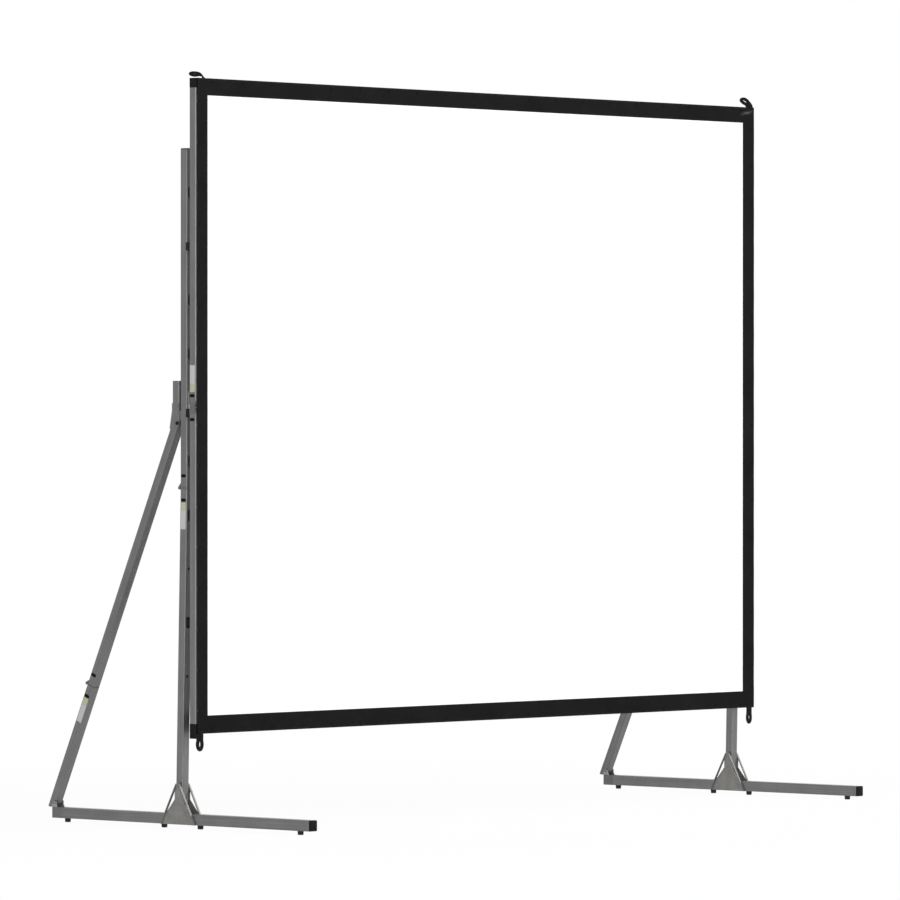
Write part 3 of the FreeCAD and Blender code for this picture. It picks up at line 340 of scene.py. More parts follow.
# moulded plastic or rubber with a fine sparked skin and a little dust
def moulded(name, dark, light, roughness, skin=1400.0, dust=0.5, specular=0.4):
    material, board = newFinish(name)
    place = board.place()
    skinned = board.cloud(place, skin, 2.0, 0.5)
    broad = board.cloud(place, 60.0, 4.0, 0.65)
    dusty = board.remap(broad, 0.45, 0.7, 0.0, dust)
    colour = board.mix(dusty, dark, light)
    values = {
        "Base Color": colour,
        "Roughness": roughness + 0.12 * dusty,
        "Specular IOR Level": specular,
    }
    board.surface(values, skinned, 0.00012, 0.5)
    return material


weaveLook = {
    "borderThread": 0.0007,
    "borderDark": (0.0055, 0.0055, 0.0058),
    "borderLight": (0.0105, 0.0105, 0.011),
    # painted highlight colour for the border along its highest crease
    "borderCreaseHighlight": (0.10, 0.10, 0.103),
    "whiteThread": 0.0005,
    "whiteDark": (0.925, 0.925, 0.92),
    "whiteLight": (0.945, 0.945, 0.945),
    "webbingThread": 0.0011,
    "webbingDark": (0.0045, 0.0045, 0.0045),
    "webbingLight": (0.015, 0.015, 0.0155),
}


# crossing threads on a map in metres
def crossedThreads(board, source, thread):
    weave = board.place((0, 0, 0), (1, 1, 1), source)
    across, along, _ = board.split(weave)
    turns = 2 * math.pi / thread
    warp = (across * turns).maths("SINE", across * turns)
    weft = (along * turns).maths("SINE", along * turns)
    return warp * weft


def borderCloth():
    material, board = newFinish("borderCloth")
    threads = crossedThreads(board, "UV", weaveLook["borderThread"])
    place = board.place((0, 0, 0), (1, 1, 1), "UV")
    broad = board.cloud(place, 7.0, 4.0, 0.6)
    lint = board.cloud(place, 900.0, 2.0, 0.6)
    tone = board.remap(broad * 0.7 + lint * 0.3, 0.35, 0.65, 0.0, 1.0)
    colour = board.mix(tone, weaveLook["borderDark"], weaveLook["borderLight"])
    # painted highlight: the border's colour is lightened along the highest crease, where light
    # catches the fold
    paintedHighlight = board.add("ShaderNodeAttribute", {"attribute_name": "crease"}, (), "Fac")
    colour = board.mix(paintedHighlight, colour, weaveLook["borderCreaseHighlight"])
    values = {"Base Color": colour, "Roughness": 0.8 + 0.1 * tone, "Specular IOR Level": 0.06}
    board.surface(values, threads * 0.5 + lint * 0.5, 0.0001, 0.5)
    return material


def whiteCloth():
    material, board = newFinish("whiteCloth")
    threads = crossedThreads(board, "UV", weaveLook["whiteThread"])
    place = board.place((0, 0, 0), (1, 1, 1), "UV")
    broad = board.cloud(place, 1.3, 4.0, 0.5)
    colour = board.mix(broad, weaveLook["whiteDark"], weaveLook["whiteLight"])
    fine = board.cloud(place, 1800.0, 2.0, 0.5)
    values = {"Base Color": colour, "Roughness": 0.86 + 0.06 * fine, "Specular IOR Level": 0.25}
    board.surface(values, threads * 0.4 + fine * 0.6, 0.00004, 0.4)
    return material


def strapWebbing():
    material, board = newFinish("strapWebbing")
    threads = crossedThreads(board, "UV", weaveLook["webbingThread"])
    fuzz = board.cloud(board.place((0, 0, 0), (1, 1, 1), "UV"), 1500.0, 3.0, 0.6)
    tone = board.remap(threads * 0.3 + fuzz, 0.3, 0.8, 0.0, 1.0)
    colour = board.mix(tone, weaveLook["webbingDark"], weaveLook["webbingLight"])
    values = {"Base Color": colour, "Roughness": 0.75 + 0.15 * fuzz, "Specular IOR Level": 0.12}
    board.surface(values, threads, 0.00025, 0.7)
    return material


# blank adhesive label: faintly mottled film
def labelFilm(name, dark, light):
    material, board = newFinish(name)
    place = board.place()
    broad = board.cloud(place, 90.0, 4.0, 0.6)
    scratches = board.cloud(board.place((0, 0, 0.4), (60, 900, 40)), 1.0, 3.0, 0.6)
    worn = board.remap(scratches, 0.6, 0.72, 0.0, 0.5)
    colour = board.mix(worn, board.mix(broad, dark, light), (0.3, 0.3, 0.29))
    board.surface({"Base Color": colour, "Roughness": 0.38 + 0.2 * broad}, broad, 0.0001, 0.2)
    return material


finishes = {
    "alongX": drawnAluminium("tubeAlongX", 0),
    "alongY": drawnAluminium("tubeAlongY", 1),
    "alongZ": drawnAluminium("tubeAlongZ", 2),
    "slanting": drawnAluminium("tubeSlanting", 2, (-braceLean, 0, 0)),
    "frameCasting": castAluminium(
        "frameCasting", rigging["frameOutside"] - rigging["frameHalf"], rigging["frameHalf"]
    ),
    "uprightCasting": castAluminium("uprightCasting", rigging["legX"], rigging["uprightHalf"]),
    "braceCasting": castAluminium("braceCasting", rigging["legX"], rigging["braceHalf"]),
    "casting": castAluminium("rearCasting"),
    "bracketPaint": coatedSteel(
        "bracketPaint", (0.004, 0.004, 0.004), (0.011, 0.011, 0.011), (0.05, 0.05, 0.05), 0.0, 0.46,
        420.0, 75.0, 0.7, 0.12,
    ),
    "gussetPaint": coatedSteel(
        "gussetPaint", (0.155, 0.151, 0.144), (0.235, 0.23, 0.22), (0.1, 0.098, 0.092), 0.5, 0.4,
        300.0, 110.0, 0.62,
    ),
    "dullSteel": coatedSteel(
        "dullSteel", (0.15, 0.15, 0.148), (0.25, 0.25, 0.245), (0.1, 0.098, 0.09), 0.8, 0.4,
        900.0, 260.0,
    ),
    "zincPlate": coatedSteel(
        "zincPlate", (0.3, 0.3, 0.29), (0.45, 0.45, 0.44), (0.2, 0.19, 0.17), 0.85, 0.36,
        900.0, 260.0,
    ),
    "blackPlastic": moulded(
        "blackPlastic", (0.003, 0.003, 0.003), (0.009, 0.009, 0.009), 0.5, 1400.0, 0.5, 0.1
    ),
    "footRubber": moulded(
        "footRubber", (0.009, 0.009, 0.009), (0.035, 0.034, 0.032), 0.68, 900.0, 0.6, 0.3
    ),
    "border": borderCloth(),
    "white": whiteCloth(),
    "webbing": strapWebbing(),
    "snapPlastic": moulded(
        "snapPlastic", (0.003, 0.003, 0.003), (0.009, 0.009, 0.009), 0.7, 1400.0, 0.5, 0.06
    ),
    "thread": moulded("blackThread", (0.012, 0.012, 0.012), (0.024, 0.024, 0.024), 0.62, 2600.0),
    "paleLabel": labelFilm("paleLabel", (0.42, 0.422, 0.43), (0.50, 0.502, 0.51)),
    "yellowLabel": labelFilm("yellowLabel", (0.38, 0.38, 0.26), (0.45, 0.45, 0.32)),
}

dressing = {
    "alongX": ("bottom_rail", "top_rail"),
    "alongZ": (
        "side_tubes_lower", "side_tubes_upper", "left_upright_upper", "right_upright_upper",
        "left_upright_lower", "right_upright_lower", "brace_brackets",
    ),
    "alongY": ("left_base_tube", "right_base_tube"),
    "slanting": ("left_brace_upper", "left_brace_lower", "right_brace_upper", "right_brace_lower"),
    "frameCasting": ("frame_hinges_lower", "frame_hinges_upper"),
    "uprightCasting": (
        "upright_hinges_upper", "left_upright_hinge_lower", "right_upright_hinge_lower",
    ),
    "braceCasting": (
        "left_brace_knee_upper", "left_brace_knee_lower", "right_brace_knee_upper",
        "right_brace_knee_lower",
    ),
    "casting": ("left_base_rear_fitting", "right_base_rear_fitting"),
    "bracketPaint": ("frame_brackets", "brace_top_bolts"),
    "gussetPaint": ("left_gusset_plates", "right_gusset_plates"),
    "zincPlate": (
        "left_frame_latch", "right_frame_latch", "snap_fasteners_lower", "snap_fasteners_upper",
        "left_upright_latch_button", "right_upright_latch_button",
        "left_knee_latch_button", "right_knee_latch_button",
    ),
    "dullSteel": (
        "mounting_bolts", "left_brace_foot_bolt", "right_brace_foot_bolt",
        "left_gusset_bolts", "right_gusset_bolts",
    ),
    "blackPlastic": (
        "bottom_corner_blocks", "top_corner_blocks", "upright_caps", "left_upright_foot",
        "right_upright_foot", "left_base_end_plug", "right_base_end_plug",
    ),
    "footRubber": ("left_rubber_feet", "right_rubber_feet"),
}

for finish, names in dressing.items():
    for name in names:
        for slot in nodes[name].material_slots:
            slot.material = finishes[finish]
print("frame dressed")


def newPiece(name, corners, faces, finishNames, faceFinish=None, smooth=True, angle=32):
    mesh = bpy.data.meshes.new(name)
    mesh.from_pydata(corners, [], faces)
    for finish in finishNames:
        mesh.materials.append(finishes[finish])
    if faceFinish:
        mesh.polygons.foreach_set("material_index", faceFinish)
    if smooth:
        mesh.shade_smooth()
        mesh.set_sharp_from_angle(angle=math.radians(angle))
    mesh.update()
    piece = bpy.data.objects.new(name, mesh)
    bpy.context.scene.collection.objects.link(piece)
    return piece


def setUv(piece, spots):
    layer = piece.data.uv_layers.new(name="weave")
    for polygon in piece.data.polygons:
        for loop, spot in zip(polygon.loop_indices, spots[polygon.index]):
            layer.data[loop].uv = spot


# the cloth: border and white field in one closed sheet, measured from the frame
borderLow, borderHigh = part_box("border_lower")
fieldLow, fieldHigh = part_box("screen_surface_lower")
cloth = {
    "left": borderLow.x,
    "right": borderHigh.x,
    "bottom": borderLow.z,
    "top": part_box("border_upper")[1].z,
    "back": borderHigh.y,
    "borderFront": borderLow.y,
    "fieldFront": fieldLow.y,
    "fieldLeft": fieldLow.x,
    "fieldRight": fieldHigh.x,
    "fieldBottom": fieldLow.z,
    "fieldTop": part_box("screen_surface_upper")[1].z,
    "bendStart": rigging["foldZ"],
    "bendEnd": rigging["foldZ"] + 0.042,
    "roll": 0.003,  # rounding of the outer edge
    "lip": 0.0005,  # step at the inner edge of the border
    "fineStep": 0.0065,
    "openStep": 0.028,
    "bendStep": 0.0025,
    "cornerZone": 0.19,
    "scallop": 0.0005,  # slack between the snaps
    "scallopDepth": 0.11,
    "snapPitch": 0.152,
    "slack": 0.00035,
    "slackSize": 1.9,
}
# pulled creases near the corners: whether right and top, start and end inwards from the
# corner, height, half width
creases = (
    (1, 1, (0.010, 0.016), (0.085, 0.028), 0.0022, 0.0038),
    (1, 1, (0.024, 0.012), (0.134, 0.018), 0.0013, 0.0060),
    (1, 1, (0.008, 0.042), (0.054, 0.078), 0.0012, 0.0060),
    (0, 1, (0.016, 0.018), (0.106, 0.031), 0.0012, 0.0065),
    (0, 0, (0.026, 0.023), (0.096, 0.040), 0.0011, 0.0065),
    (1, 0, (0.027, 0.018), (0.094, 0.030), 0.0012, 0.0065),
)


# along a crease, 0 to 1, and the distance from it
def fromCrease(crease, x, z):
    atRight, atTop, (x0, z0), (x1, z1), _, _ = crease
    fromSide = cloth["right"] - x if atRight else x - cloth["left"]
    fromEnd = cloth["top"] - z if atTop else z - cloth["bottom"]
    runX, runZ = x1 - x0, z1 - z0
    share = ((fromSide - x0) * runX + (fromEnd - z0) * runZ) / (runX * runX + runZ * runZ)
    held = min(max(share, 0.0), 1.0)
    return held, math.hypot(fromSide - x0 - held * runX, fromEnd - z0 - held * runZ)


# painted highlight along the cloth's highest crease, standing in for light on the fold: strongest
# along the crease line, fading across it
def creaseHighlightAt(x, z):
    crease = creases[0]
    held, away = fromCrease(crease, x, z)
    return math.sin(math.pi * held ** 0.8) * math.exp(-((away / (0.85 * crease[5])) ** 2))


def clothRelief(x, z):
    inX = min(x - cloth["left"], cloth["right"] - x)
    inZ = min(z - cloth["bottom"], cloth["top"] - z)
    out = 0.0
    for inside, run in ((inX, z), (inZ, x)):
        if inside < cloth["scallopDepth"]:
            fade = 1 - inside / cloth["scallopDepth"]
            wave = 0.5 - 0.5 * math.cos(2 * math.pi * run / cloth["snapPitch"])
            out += cloth["scallop"] * fade * fade * wave
    size = cloth["slackSize"]
    out += cloth["slack"] * (0.5 + 0.5 * noise.noise((x * size, 0.0, z * size)))
    for crease in creases:
        height, spread = crease[4:]
        held, away = fromCrease(crease, x, z)
        if away < 4 * spread:
            out += height * (1 - 0.75 * held) * math.exp(-((away / spread) ** 2))
    return out


# whether a place is on the white field or its outline
def inField(x, z):
    slim = 1e-6
    return (
        cloth["fieldLeft"] - slim < x < cloth["fieldRight"] + slim
        and cloth["fieldBottom"] - slim < z < cloth["fieldTop"] + slim
    )


# forward face of the cloth
def clothFront(x, z):
    edge = min(x - cloth["left"], cloth["right"] - x, z - cloth["bottom"], cloth["top"] - z)
    front = cloth["fieldFront"] if inField(x, z) else cloth["borderFront"]
    if edge < cloth["roll"]:
        share = 1 - edge / cloth["roll"]
        front += (cloth["back"] - front) * 0.55 * (1 - math.sqrt(max(0.0, 1 - share * share)))
    return front - clothRelief(x, z)


def spaced(start, end, step):
    count = max(1, round(abs(end - start) / step))
    return [start + (end - start) * i / count for i in range(count)]


def clothLines(start, fieldStart, fieldEnd, end, middle):
    roll, lip, fine, zone = cloth["roll"], cloth["lip"], cloth["fineStep"], cloth["cornerZone"]
    lines = spaced(start, start + roll, roll / 2)
    lines += spaced(start + roll, fieldStart - lip, fine) + [fieldStart - lip]
    lines += spaced(fieldStart, start + zone, fine)
    lines += middle(start + zone, end - zone)
    lines += spaced(end - zone, fieldEnd, fine) + [fieldEnd]
    lines += spaced(fieldEnd + lip, end - roll, fine)
    lines += spaced(end - roll, end, roll / 2) + [end]
    return lines


def upMiddle(low, high):
    start, end = cloth["bendStart"] - 0.008, cloth["bendEnd"] + 0.008
    lines = spaced(low, start, cloth["openStep"]) + spaced(start, end, cloth["bendStep"])
    return lines + spaced(end, high, cloth["openStep"])


def acrossMiddle(low, high):
    return spaced(low, high, cloth["openStep"])


def makeCloth():
    xs = clothLines(
        cloth["left"], cloth["fieldLeft"], cloth["fieldRight"], cloth["right"], acrossMiddle
    )
    zs = clothLines(
        cloth["bottom"], cloth["fieldBottom"], cloth["fieldTop"], cloth["top"], upMiddle
    )
    wide, high = len(xs), len(zs)
    corners = [(x, clothFront(x, z), z) for z in zs for x in xs]
    corners += [(x, cloth["back"] - clothRelief(x, z), z) for z in zs for x in xs]
    behind = wide * high
    faces, finish, spots = [], [], []

    def uv(corner):
        x, _, z = corners[corner]
        return (x - cloth["left"], z - cloth["bottom"])

    def addFace(face, isField):
        faces.append(face)
        finish.append(0 if isField else 1)
        spots.append([uv(corner) for corner in face])

    for row in range(high - 1):
        for column in range(wide - 1):
            a = row * wide + column
            b, c, d = a + 1, a + wide + 1, a + wide
            middleX, middleZ = (xs[column] + xs[column + 1]) / 2, (zs[row] + zs[row + 1]) / 2
            isField = inField(middleX, middleZ)
            addFace((a, b, c, d), isField)
            addFace((d + behind, c + behind, b + behind, a + behind), isField)
    for column in range(wide - 1):
        a, b = column, column + 1
        addFace((a, a + behind, b + behind, b), False)
        a, b = a + (high - 1) * wide, b + (high - 1) * wide
        addFace((a, b, b + behind, a + behind), False)
    for row in range(high - 1):
        a, b = row * wide, (row + 1) * wide
        addFace((a, b, b + behind, a + behind), False)
        a, b = a + wide - 1, b + wide - 1
        addFace((a, a + behind, b + behind, b), False)
    sheet = newPiece("screenCloth", corners, faces, ("white", "border"), finish)
    setUv(sheet, spots)
    # painted highlight along the highest crease, kept on each corner for the border's colour
    paintedHighlight = sheet.data.attributes.new("crease", "FLOAT", "POINT")
    paintedHighlight.data.foreach_set("value", [creaseHighlightAt(x, z) for x, _, z in corners])
    return sheet


clothNodes = (
    "screen_surface_lower", "screen_surface_upper", "surface_fold_strip",
    "border_lower", "border_upper", "border_fold_strips",
)
screenCloth = makeCloth()
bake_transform(screenCloth)
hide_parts(*clothNodes)
print("cloth made", len(screenCloth.data.polygons), "faces")


# a geometry tree with named sizes, run on an object and turned into a plain mesh
def grown(name, base, sizes, build):
    tree = bpy.data.node_groups.new(name + "Tree", "GeometryNodeTree")
    tree.interface.new_socket("Geometry", in_out="INPUT", socket_type="NodeSocketGeometry")
    tree.interface.new_socket("Geometry", in_out="OUTPUT", socket_type="NodeSocketGeometry")
    named = {}
    for label in sizes:
        socket = tree.interface.new_socket(label, in_out="INPUT", socket_type="NodeSocketFloat")
        named[label] = socket.identifier
    board = Board(tree)
    entry = board.tree.nodes.new("NodeGroupInput")
    ports = {socket.name: Signal(board, socket) for socket in entry.outputs if socket.name}
    shape, finish = build(board, ports)
    whole = board.add("GeometryNodeRealizeInstances", None, (shape,))
    painted = board.add("GeometryNodeSetMaterial", None, {0: whole, "Material": finishes[finish]})
    leave = board.tree.nodes.new("NodeGroupOutput")
    tree.links.new(painted.socket, leave.inputs[0])
    growth = base.modifiers.new("growth", "NODES")
    growth.node_group = tree
    for label, size in sizes.items():
        growth[named[label]] = size
    graph = bpy.context.evaluated_depsgraph_get()
    mesh = bpy.data.meshes.new_from_object(base.evaluated_get(graph))
    mesh.name = name
    base.modifiers.remove(growth)
    bpy.data.objects.remove(base)
    piece = bpy.data.objects.new(name, mesh)
    bpy.context.scene.collection.objects.link(piece)
    return piece


def scaffold(name, points, edges=()):
    mesh = bpy.data.meshes.new(name)
    mesh.from_pydata(points, edges, [])
    base = bpy.data.objects.new(name, mesh)
    bpy.context.scene.collection.objects.link(base)
    return base


stitching = {
    "fromField": 0.0035,
    "fromEdge": 0.0045,
    "sampling": 0.012,
    "Pitch": 0.0062,
    "Length": 0.0045,
    "Thickness": 0.0009,
    "sink": 0.00005,
}


def stitchRing(left, right, bottom, top):
    ring = [(x, bottom) for x in spaced(left, right, stitching["sampling"])]
    ring += [(right, z) for z in spaced(bottom, top, stitching["sampling"])]
    ring += [(x, top) for x in spaced(right, left, stitching["sampling"])]
    ring += [(left, z) for z in spaced(top, bottom, stitching["sampling"])]
    return [(x, clothFront(x, z) + stitching["sink"], z) for x, z in ring]


def stitchTree(board, ports):
    line = board.add("GeometryNodeMeshToCurve", None, (ports["Geometry"],))
    spots = board.add(
        "GeometryNodeCurveToPoints", {"mode": "LENGTH"}, {"Curve": line, "Length": ports["Pitch"]}
    )
    turned = Signal(board, spots.socket.node.outputs["Rotation"])
    knot = board.add("GeometryNodeMeshIcoSphere", None, {"Radius": 0.5, "Subdivisions": 1})
    size = board.add(
        "ShaderNodeCombineXYZ", None, (ports["Thickness"], ports["Thickness"], ports["Length"])
    )
    values = {"Points": spots, "Instance": knot, "Rotation": turned, "Scale": size}
    return board.add("GeometryNodeInstanceOnPoints", None, values), "thread"


def makeStitches():
    gap = stitching["fromField"]
    inner = stitchRing(
        cloth["fieldLeft"] - gap, cloth["fieldRight"] + gap,
        cloth["fieldBottom"] - gap, cloth["fieldTop"] + gap,
    )
    gap = stitching["fromEdge"]
    outer = stitchRing(
        cloth["left"] + gap, cloth["right"] - gap, cloth["bottom"] + gap, cloth["top"] - gap
    )
    edges = [(i, (i + 1) % len(inner)) for i in range(len(inner))]
    edges += [(len(inner) + i, len(inner) + (i + 1) % len(outer)) for i in range(len(outer))]
    sizes = {name: stitching[name] for name in ("Pitch", "Length", "Thickness")}
    return grown("borderStitches", scaffold("stitchLines", inner + outer, edges), sizes, stitchTree)


borderStitches = makeStitches()
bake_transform(borderStitches)
print("stitches made", len(borderStitches.data.polygons), "faces")

snaps = {
    "sideX": rigging["frameOutside"] - rigging["frameHalf"],
    "lowZ": boxMiddle("bottom_rail").z,
    "highZ": boxMiddle("top_rail").z,
    "cornerGap": 0.080,
    "jointGap": 0.062,
    "pitch": 0.152,
    "Rim Radius": 0.0055,
    "Rim Height": 0.0007,
    "Crown Radius": 0.0036,
    "Crown Height": 0.0006,
}


def evenly(start, end):
    count = max(1, round((end - start) / snaps["pitch"]))
    return [start + (end - start) * i / count for i in range(count + 1)]


def snapTree(board, ports):
    rim = board.add(
        "GeometryNodeMeshCone", None,
        {"Vertices": 16, "Radius Top": ports["Rim Radius"] * 0.88,
         "Radius Bottom": ports["Rim Radius"], "Depth": ports["Rim Height"]},
    )
    crown = board.add(
        "GeometryNodeMeshCone", None,
        {"Vertices": 16, "Radius Top": ports["Crown Radius"] * 0.7,
         "Radius Bottom": ports["Crown Radius"], "Depth": ports["Crown Height"]},
    )
    lift = board.add("ShaderNodeCombineXYZ", None, (0, 0, ports["Rim Height"] * 0.9))
    crown = board.add("GeometryNodeTransform", None, {"Geometry": crown, "Translation": lift})
    cap = board.add("GeometryNodeJoinGeometry", None, (crown,))
    board.tree.links.new(rim.socket, cap.socket.node.inputs[0])
    facing = {"Geometry": cap, "Rotation": (math.radians(90), 0, 0)}
    cap = board.add("GeometryNodeTransform", None, facing)
    values = {"Points": ports["Geometry"], "Instance": cap}
    return board.add("GeometryNodeInstanceOnPoints", None, values), "snapPlastic"


def makeSnapCaps(name, alongZ, rowZ):
    half = rigging["frameOutside"] - snaps["cornerGap"]
    spots = [(x, rowZ) for x in evenly(-half, half)]
    spots += [(side * snaps["sideX"], z) for side in (-1, 1) for z in alongZ]
    points = [(x, clothFront(x, z), z) for x, z in spots]
    inputs = ("Rim Radius", "Rim Height", "Crown Radius", "Crown Height")
    sizes = {label: snaps[label] for label in inputs}
    return grown(name, scaffold(name + "Spots", points), sizes, snapTree)


lowerRun = evenly(cloth["bottom"] + snaps["cornerGap"], rigging["foldZ"] - snaps["jointGap"])
upperRun = evenly(rigging["foldZ"] + snaps["jointGap"], cloth["top"] - snaps["cornerGap"])
snapCapsLower = makeSnapCaps("snapCapsLower", lowerRun, snaps["lowZ"])
snapCapsUpper = makeSnapCaps("snapCapsUpper", upperRun, snaps["highZ"])
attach(snapCapsLower, "lower_frame")
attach(snapCapsUpper, "upper_frame")
print("snap caps made")

loopHalf = 0.014  # from the outer side of a loop to its middle
loops = {
    "leftX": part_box("pull_loops_lower")[0].x + loopHalf,
    "rightX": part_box("pull_loops_lower")[1].x - loopHalf,
    "strandWidth": 0.0128,
    "strandThick": 0.0040,
    "neckHalf": 0.0062,
    "ringHalf": 0.0078,
    "ringLength": 0.050,
    "turnShare": 0.35,  # share of the strap over which it turns
    "depth": 0.0009,  # middle of the strap behind the cloth
    "samples": 40,
    "neckSamples": 14,
    "spanSamples": 12,  # between two points of a strap's path
    "sectionPoints": 12,
    "weaveStep": 0.0014,
}
# where each strap runs, rearwards and upwards from the cloth's edge, how far it stands to
# the right of its place, and by how many degrees its ring turns to the left
straps = {
    "lowerLeft": {
        "path": ((0.0, 0.020), (0.0, 0.0), (0.0002, -0.018), (0.0006, -0.040), (0.0, -0.0615)),
        "shift": -0.014,
        "turn": 38,
    },
    "lowerRight": {
        "path": ((0.0, 0.020), (0.0, 0.0), (0.0002, -0.018), (0.0006, -0.040), (0.0, -0.0625)),
        "shift": 0.0,
        "turn": 12,
    },
    "upperLeft": {
        "path": (
            (0.0, -0.020), (0.0, 0.0), (0.006, 0.0085), (0.016, 0.0135), (0.030, 0.0158),
            (0.048, 0.0155), (0.069, 0.0140),
        ),
        "shift": 0.005,
        "turn": 35,
    },
    "upperRight": {
        "path": (
            (0.0, -0.020), (0.0, 0.0), (0.006, 0.0095), (0.015, 0.0180), (0.026, 0.0250),
            (0.037, 0.0305), (0.047, 0.0340),
        ),
        "shift": 0.003,
        "turn": -50,
    },
}


# smooth line through the points, evenly sampled
def smoothLine(points):
    padded = [points[0]] + list(points) + [points[-1]]
    dense = []
    for a, b, c, d in zip(padded, padded[1:], padded[2:], padded[3:]):
        for step in range(loops["spanSamples"]):
            t = step / loops["spanSamples"]
            dense.append(tuple(
                0.5 * (2 * q + (r - p) * t + (2 * p - 5 * q + 4 * r - s) * t * t
                       + (3 * q - p - 3 * r + s) * t ** 3)
                for p, q, r, s in zip(a, b, c, d)
            ))
    dense.append(points[-1])
    lengths = [0.0]
    for a, b in zip(dense, dense[1:]):
        lengths.append(lengths[-1] + math.dist(a, b))

    def at(distance):
        distance = min(max(distance, 0.0), lengths[-1])
        step = next(i for i in range(1, len(lengths)) if lengths[i] >= distance - 1e-12)
        share = (distance - lengths[step - 1]) / max(lengths[step] - lengths[step - 1], 1e-12)
        return Vector([p + (q - p) * share for p, q in zip(dense[step - 1], dense[step])])

    return at, lengths[-1]


# one strap: two strands that part into a ring at the end
def strapPath(profile):
    at, length = smoothLine(profile)
    half = loops["ringLength"] / 2 - loops["strandWidth"] / 2
    middle = length - loops["ringLength"] / 2
    start = math.pi - math.asin(loops["neckHalf"] / loops["ringHalf"])
    neckEnd = middle + half * math.cos(start)
    neck = loops["neckSamples"]
    spots = [(s, -loops["neckHalf"]) for s in spaced(0.0, neckEnd, neckEnd / neck)]
    for step in range(loops["samples"] + 1):
        turn = start - 2 * start * step / loops["samples"]
        spots.append((middle + half * math.cos(turn), -loops["ringHalf"] * math.sin(turn)))
    spots += [(s, -x) for s, x in reversed(spots[:neck])]
    return at, length, spots


def addStrap(corners, faces, spots, strap, x, edgeZ):
    at, length, path = strapPath(strap["path"])
    place, face = [], []
    for along, aside in path:
        point = at(along)
        ahead = (at(min(along + 0.0006, length)) - at(max(along - 0.0006, 0.0))).normalized()
        share = min(along / (length * loops["turnShare"]), 1.0)
        turn = math.radians(strap["turn"]) * share * share * (3 - 2 * share)
        straight, out = Vector((1, 0, 0)), Vector((0, -ahead[1], ahead[0]))
        across = straight * math.cos(turn) - out * math.sin(turn)
        middle = Vector((
            x + strap["shift"], cloth["back"] + loops["depth"] + point[0], edgeZ + point[1]
        ))
        place.append(middle + across * aside)
        face.append(out * math.cos(turn) + straight * math.sin(turn))
    halfWidth, halfThick = loops["strandWidth"] / 2, loops["strandThick"] / 2
    section, count = [], loops["sectionPoints"]
    for step in range(count):
        turn = 2 * math.pi * step / count
        c, s = math.cos(turn), math.sin(turn)
        wide = math.copysign(abs(c) ** 0.4, c) * halfWidth
        thick = math.copysign(abs(s) ** 0.55, s) * halfThick
        section.append((wide, thick))
    first = len(corners)
    run = 0.0
    for i, (spot, out) in enumerate(zip(place, face)):
        before, after = place[max(i - 1, 0)], place[min(i + 1, len(place) - 1)]
        aside = (after - before).normalized().cross(out).normalized()
        if i:
            run += (spot - place[i - 1]).length
        for wide, thick in section:
            corners.append(tuple(spot + aside * wide + out * thick))
        if i:
            past = run - (spot - place[i - 1]).length
            for k in range(count):
                m = (k + 1) % count
                a, b = first + (i - 1) * count + k, first + (i - 1) * count + m
                faces.append((a, b, b + count, a + count))
                u0, u1 = k * loops["weaveStep"], (k + 1) * loops["weaveStep"]
                spots.append([(u0, past), (u1, past), (u1, run), (u0, run)])
    last = len(corners) - count
    faces.append(tuple(first + k for k in reversed(range(count))))
    faces.append(tuple(last + k for k in range(count)))
    spots += [[(0, 0)] * count] * 2


def makeStraps(name, left, right, edgeZ):
    corners, faces, spots = [], [], []
    addStrap(corners, faces, spots, straps[left], loops["leftX"], edgeZ)
    addStrap(corners, faces, spots, straps[right], loops["rightX"], edgeZ)
    piece = newPiece(name, corners, faces, ("webbing",), None, True, 50)
    setUv(piece, spots)
    return piece


pullLoopsLower = makeStraps("pullLoopsLower", "lowerLeft", "lowerRight", cloth["bottom"])
pullLoopsUpper = makeStraps("pullLoopsUpper", "upperLeft", "upperRight", cloth["top"])
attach(pullLoopsLower, "lower_frame")
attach(pullLoopsUpper, "upper_frame")
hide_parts("pull_loops_lower")
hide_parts("pull_loops_upper")
print("pull loops made")

labels = {
    "thickness": 0.00025,
    "corner": 0.0018,
    "width": 0.0235,
    "yellowHeight": 0.027,
    "paleHeight": 0.066,
    "seam": 0.0004,
    # where each begins along its tube, from the pin of the joint
    "frameStart": 0.0545,
    "uprightStart": -0.0505,
    "braceStart": -0.0485,
}


# rounded rectangle in the plane of a tube's side; up is along the tube
def addPlate(corners, faces, side, middle, up, width, low, high, rounds):
    across = Vector((0, -up.z, up.y)) * side
    corner = labels["corner"]
    outline = []
    for (signU, signV), isRound in zip(((1, 1), (-1, 1), (-1, -1), (1, -1)), rounds):
        u, v = signU * width / 2, high if signV > 0 else low
        if not isRound:
            outline.append((u, v))
            continue
        centreU, centreV = u - signU * corner, v - signV * corner
        begin = {(1, 1): 0, (-1, 1): 90, (-1, -1): 180, (1, -1): 270}[(signU, signV)]
        for step in range(6):
            turn = math.radians(begin + 18 * step)
            outline.append((centreU + corner * math.cos(turn), centreV + corner * math.sin(turn)))
    first, count = len(corners), len(outline)
    for lift in (0.0, labels["thickness"]):
        for u, v in outline:
            corners.append(tuple(middle + Vector((side * lift, 0, 0)) + across * u + up * v))
    faces.append(tuple(first + i for i in reversed(range(count))))
    faces.append(tuple(first + count + i for i in range(count)))
    for i in range(count):
        j = (i + 1) % count
        faces.append((first + i, first + j, first + count + j, first + count + i))


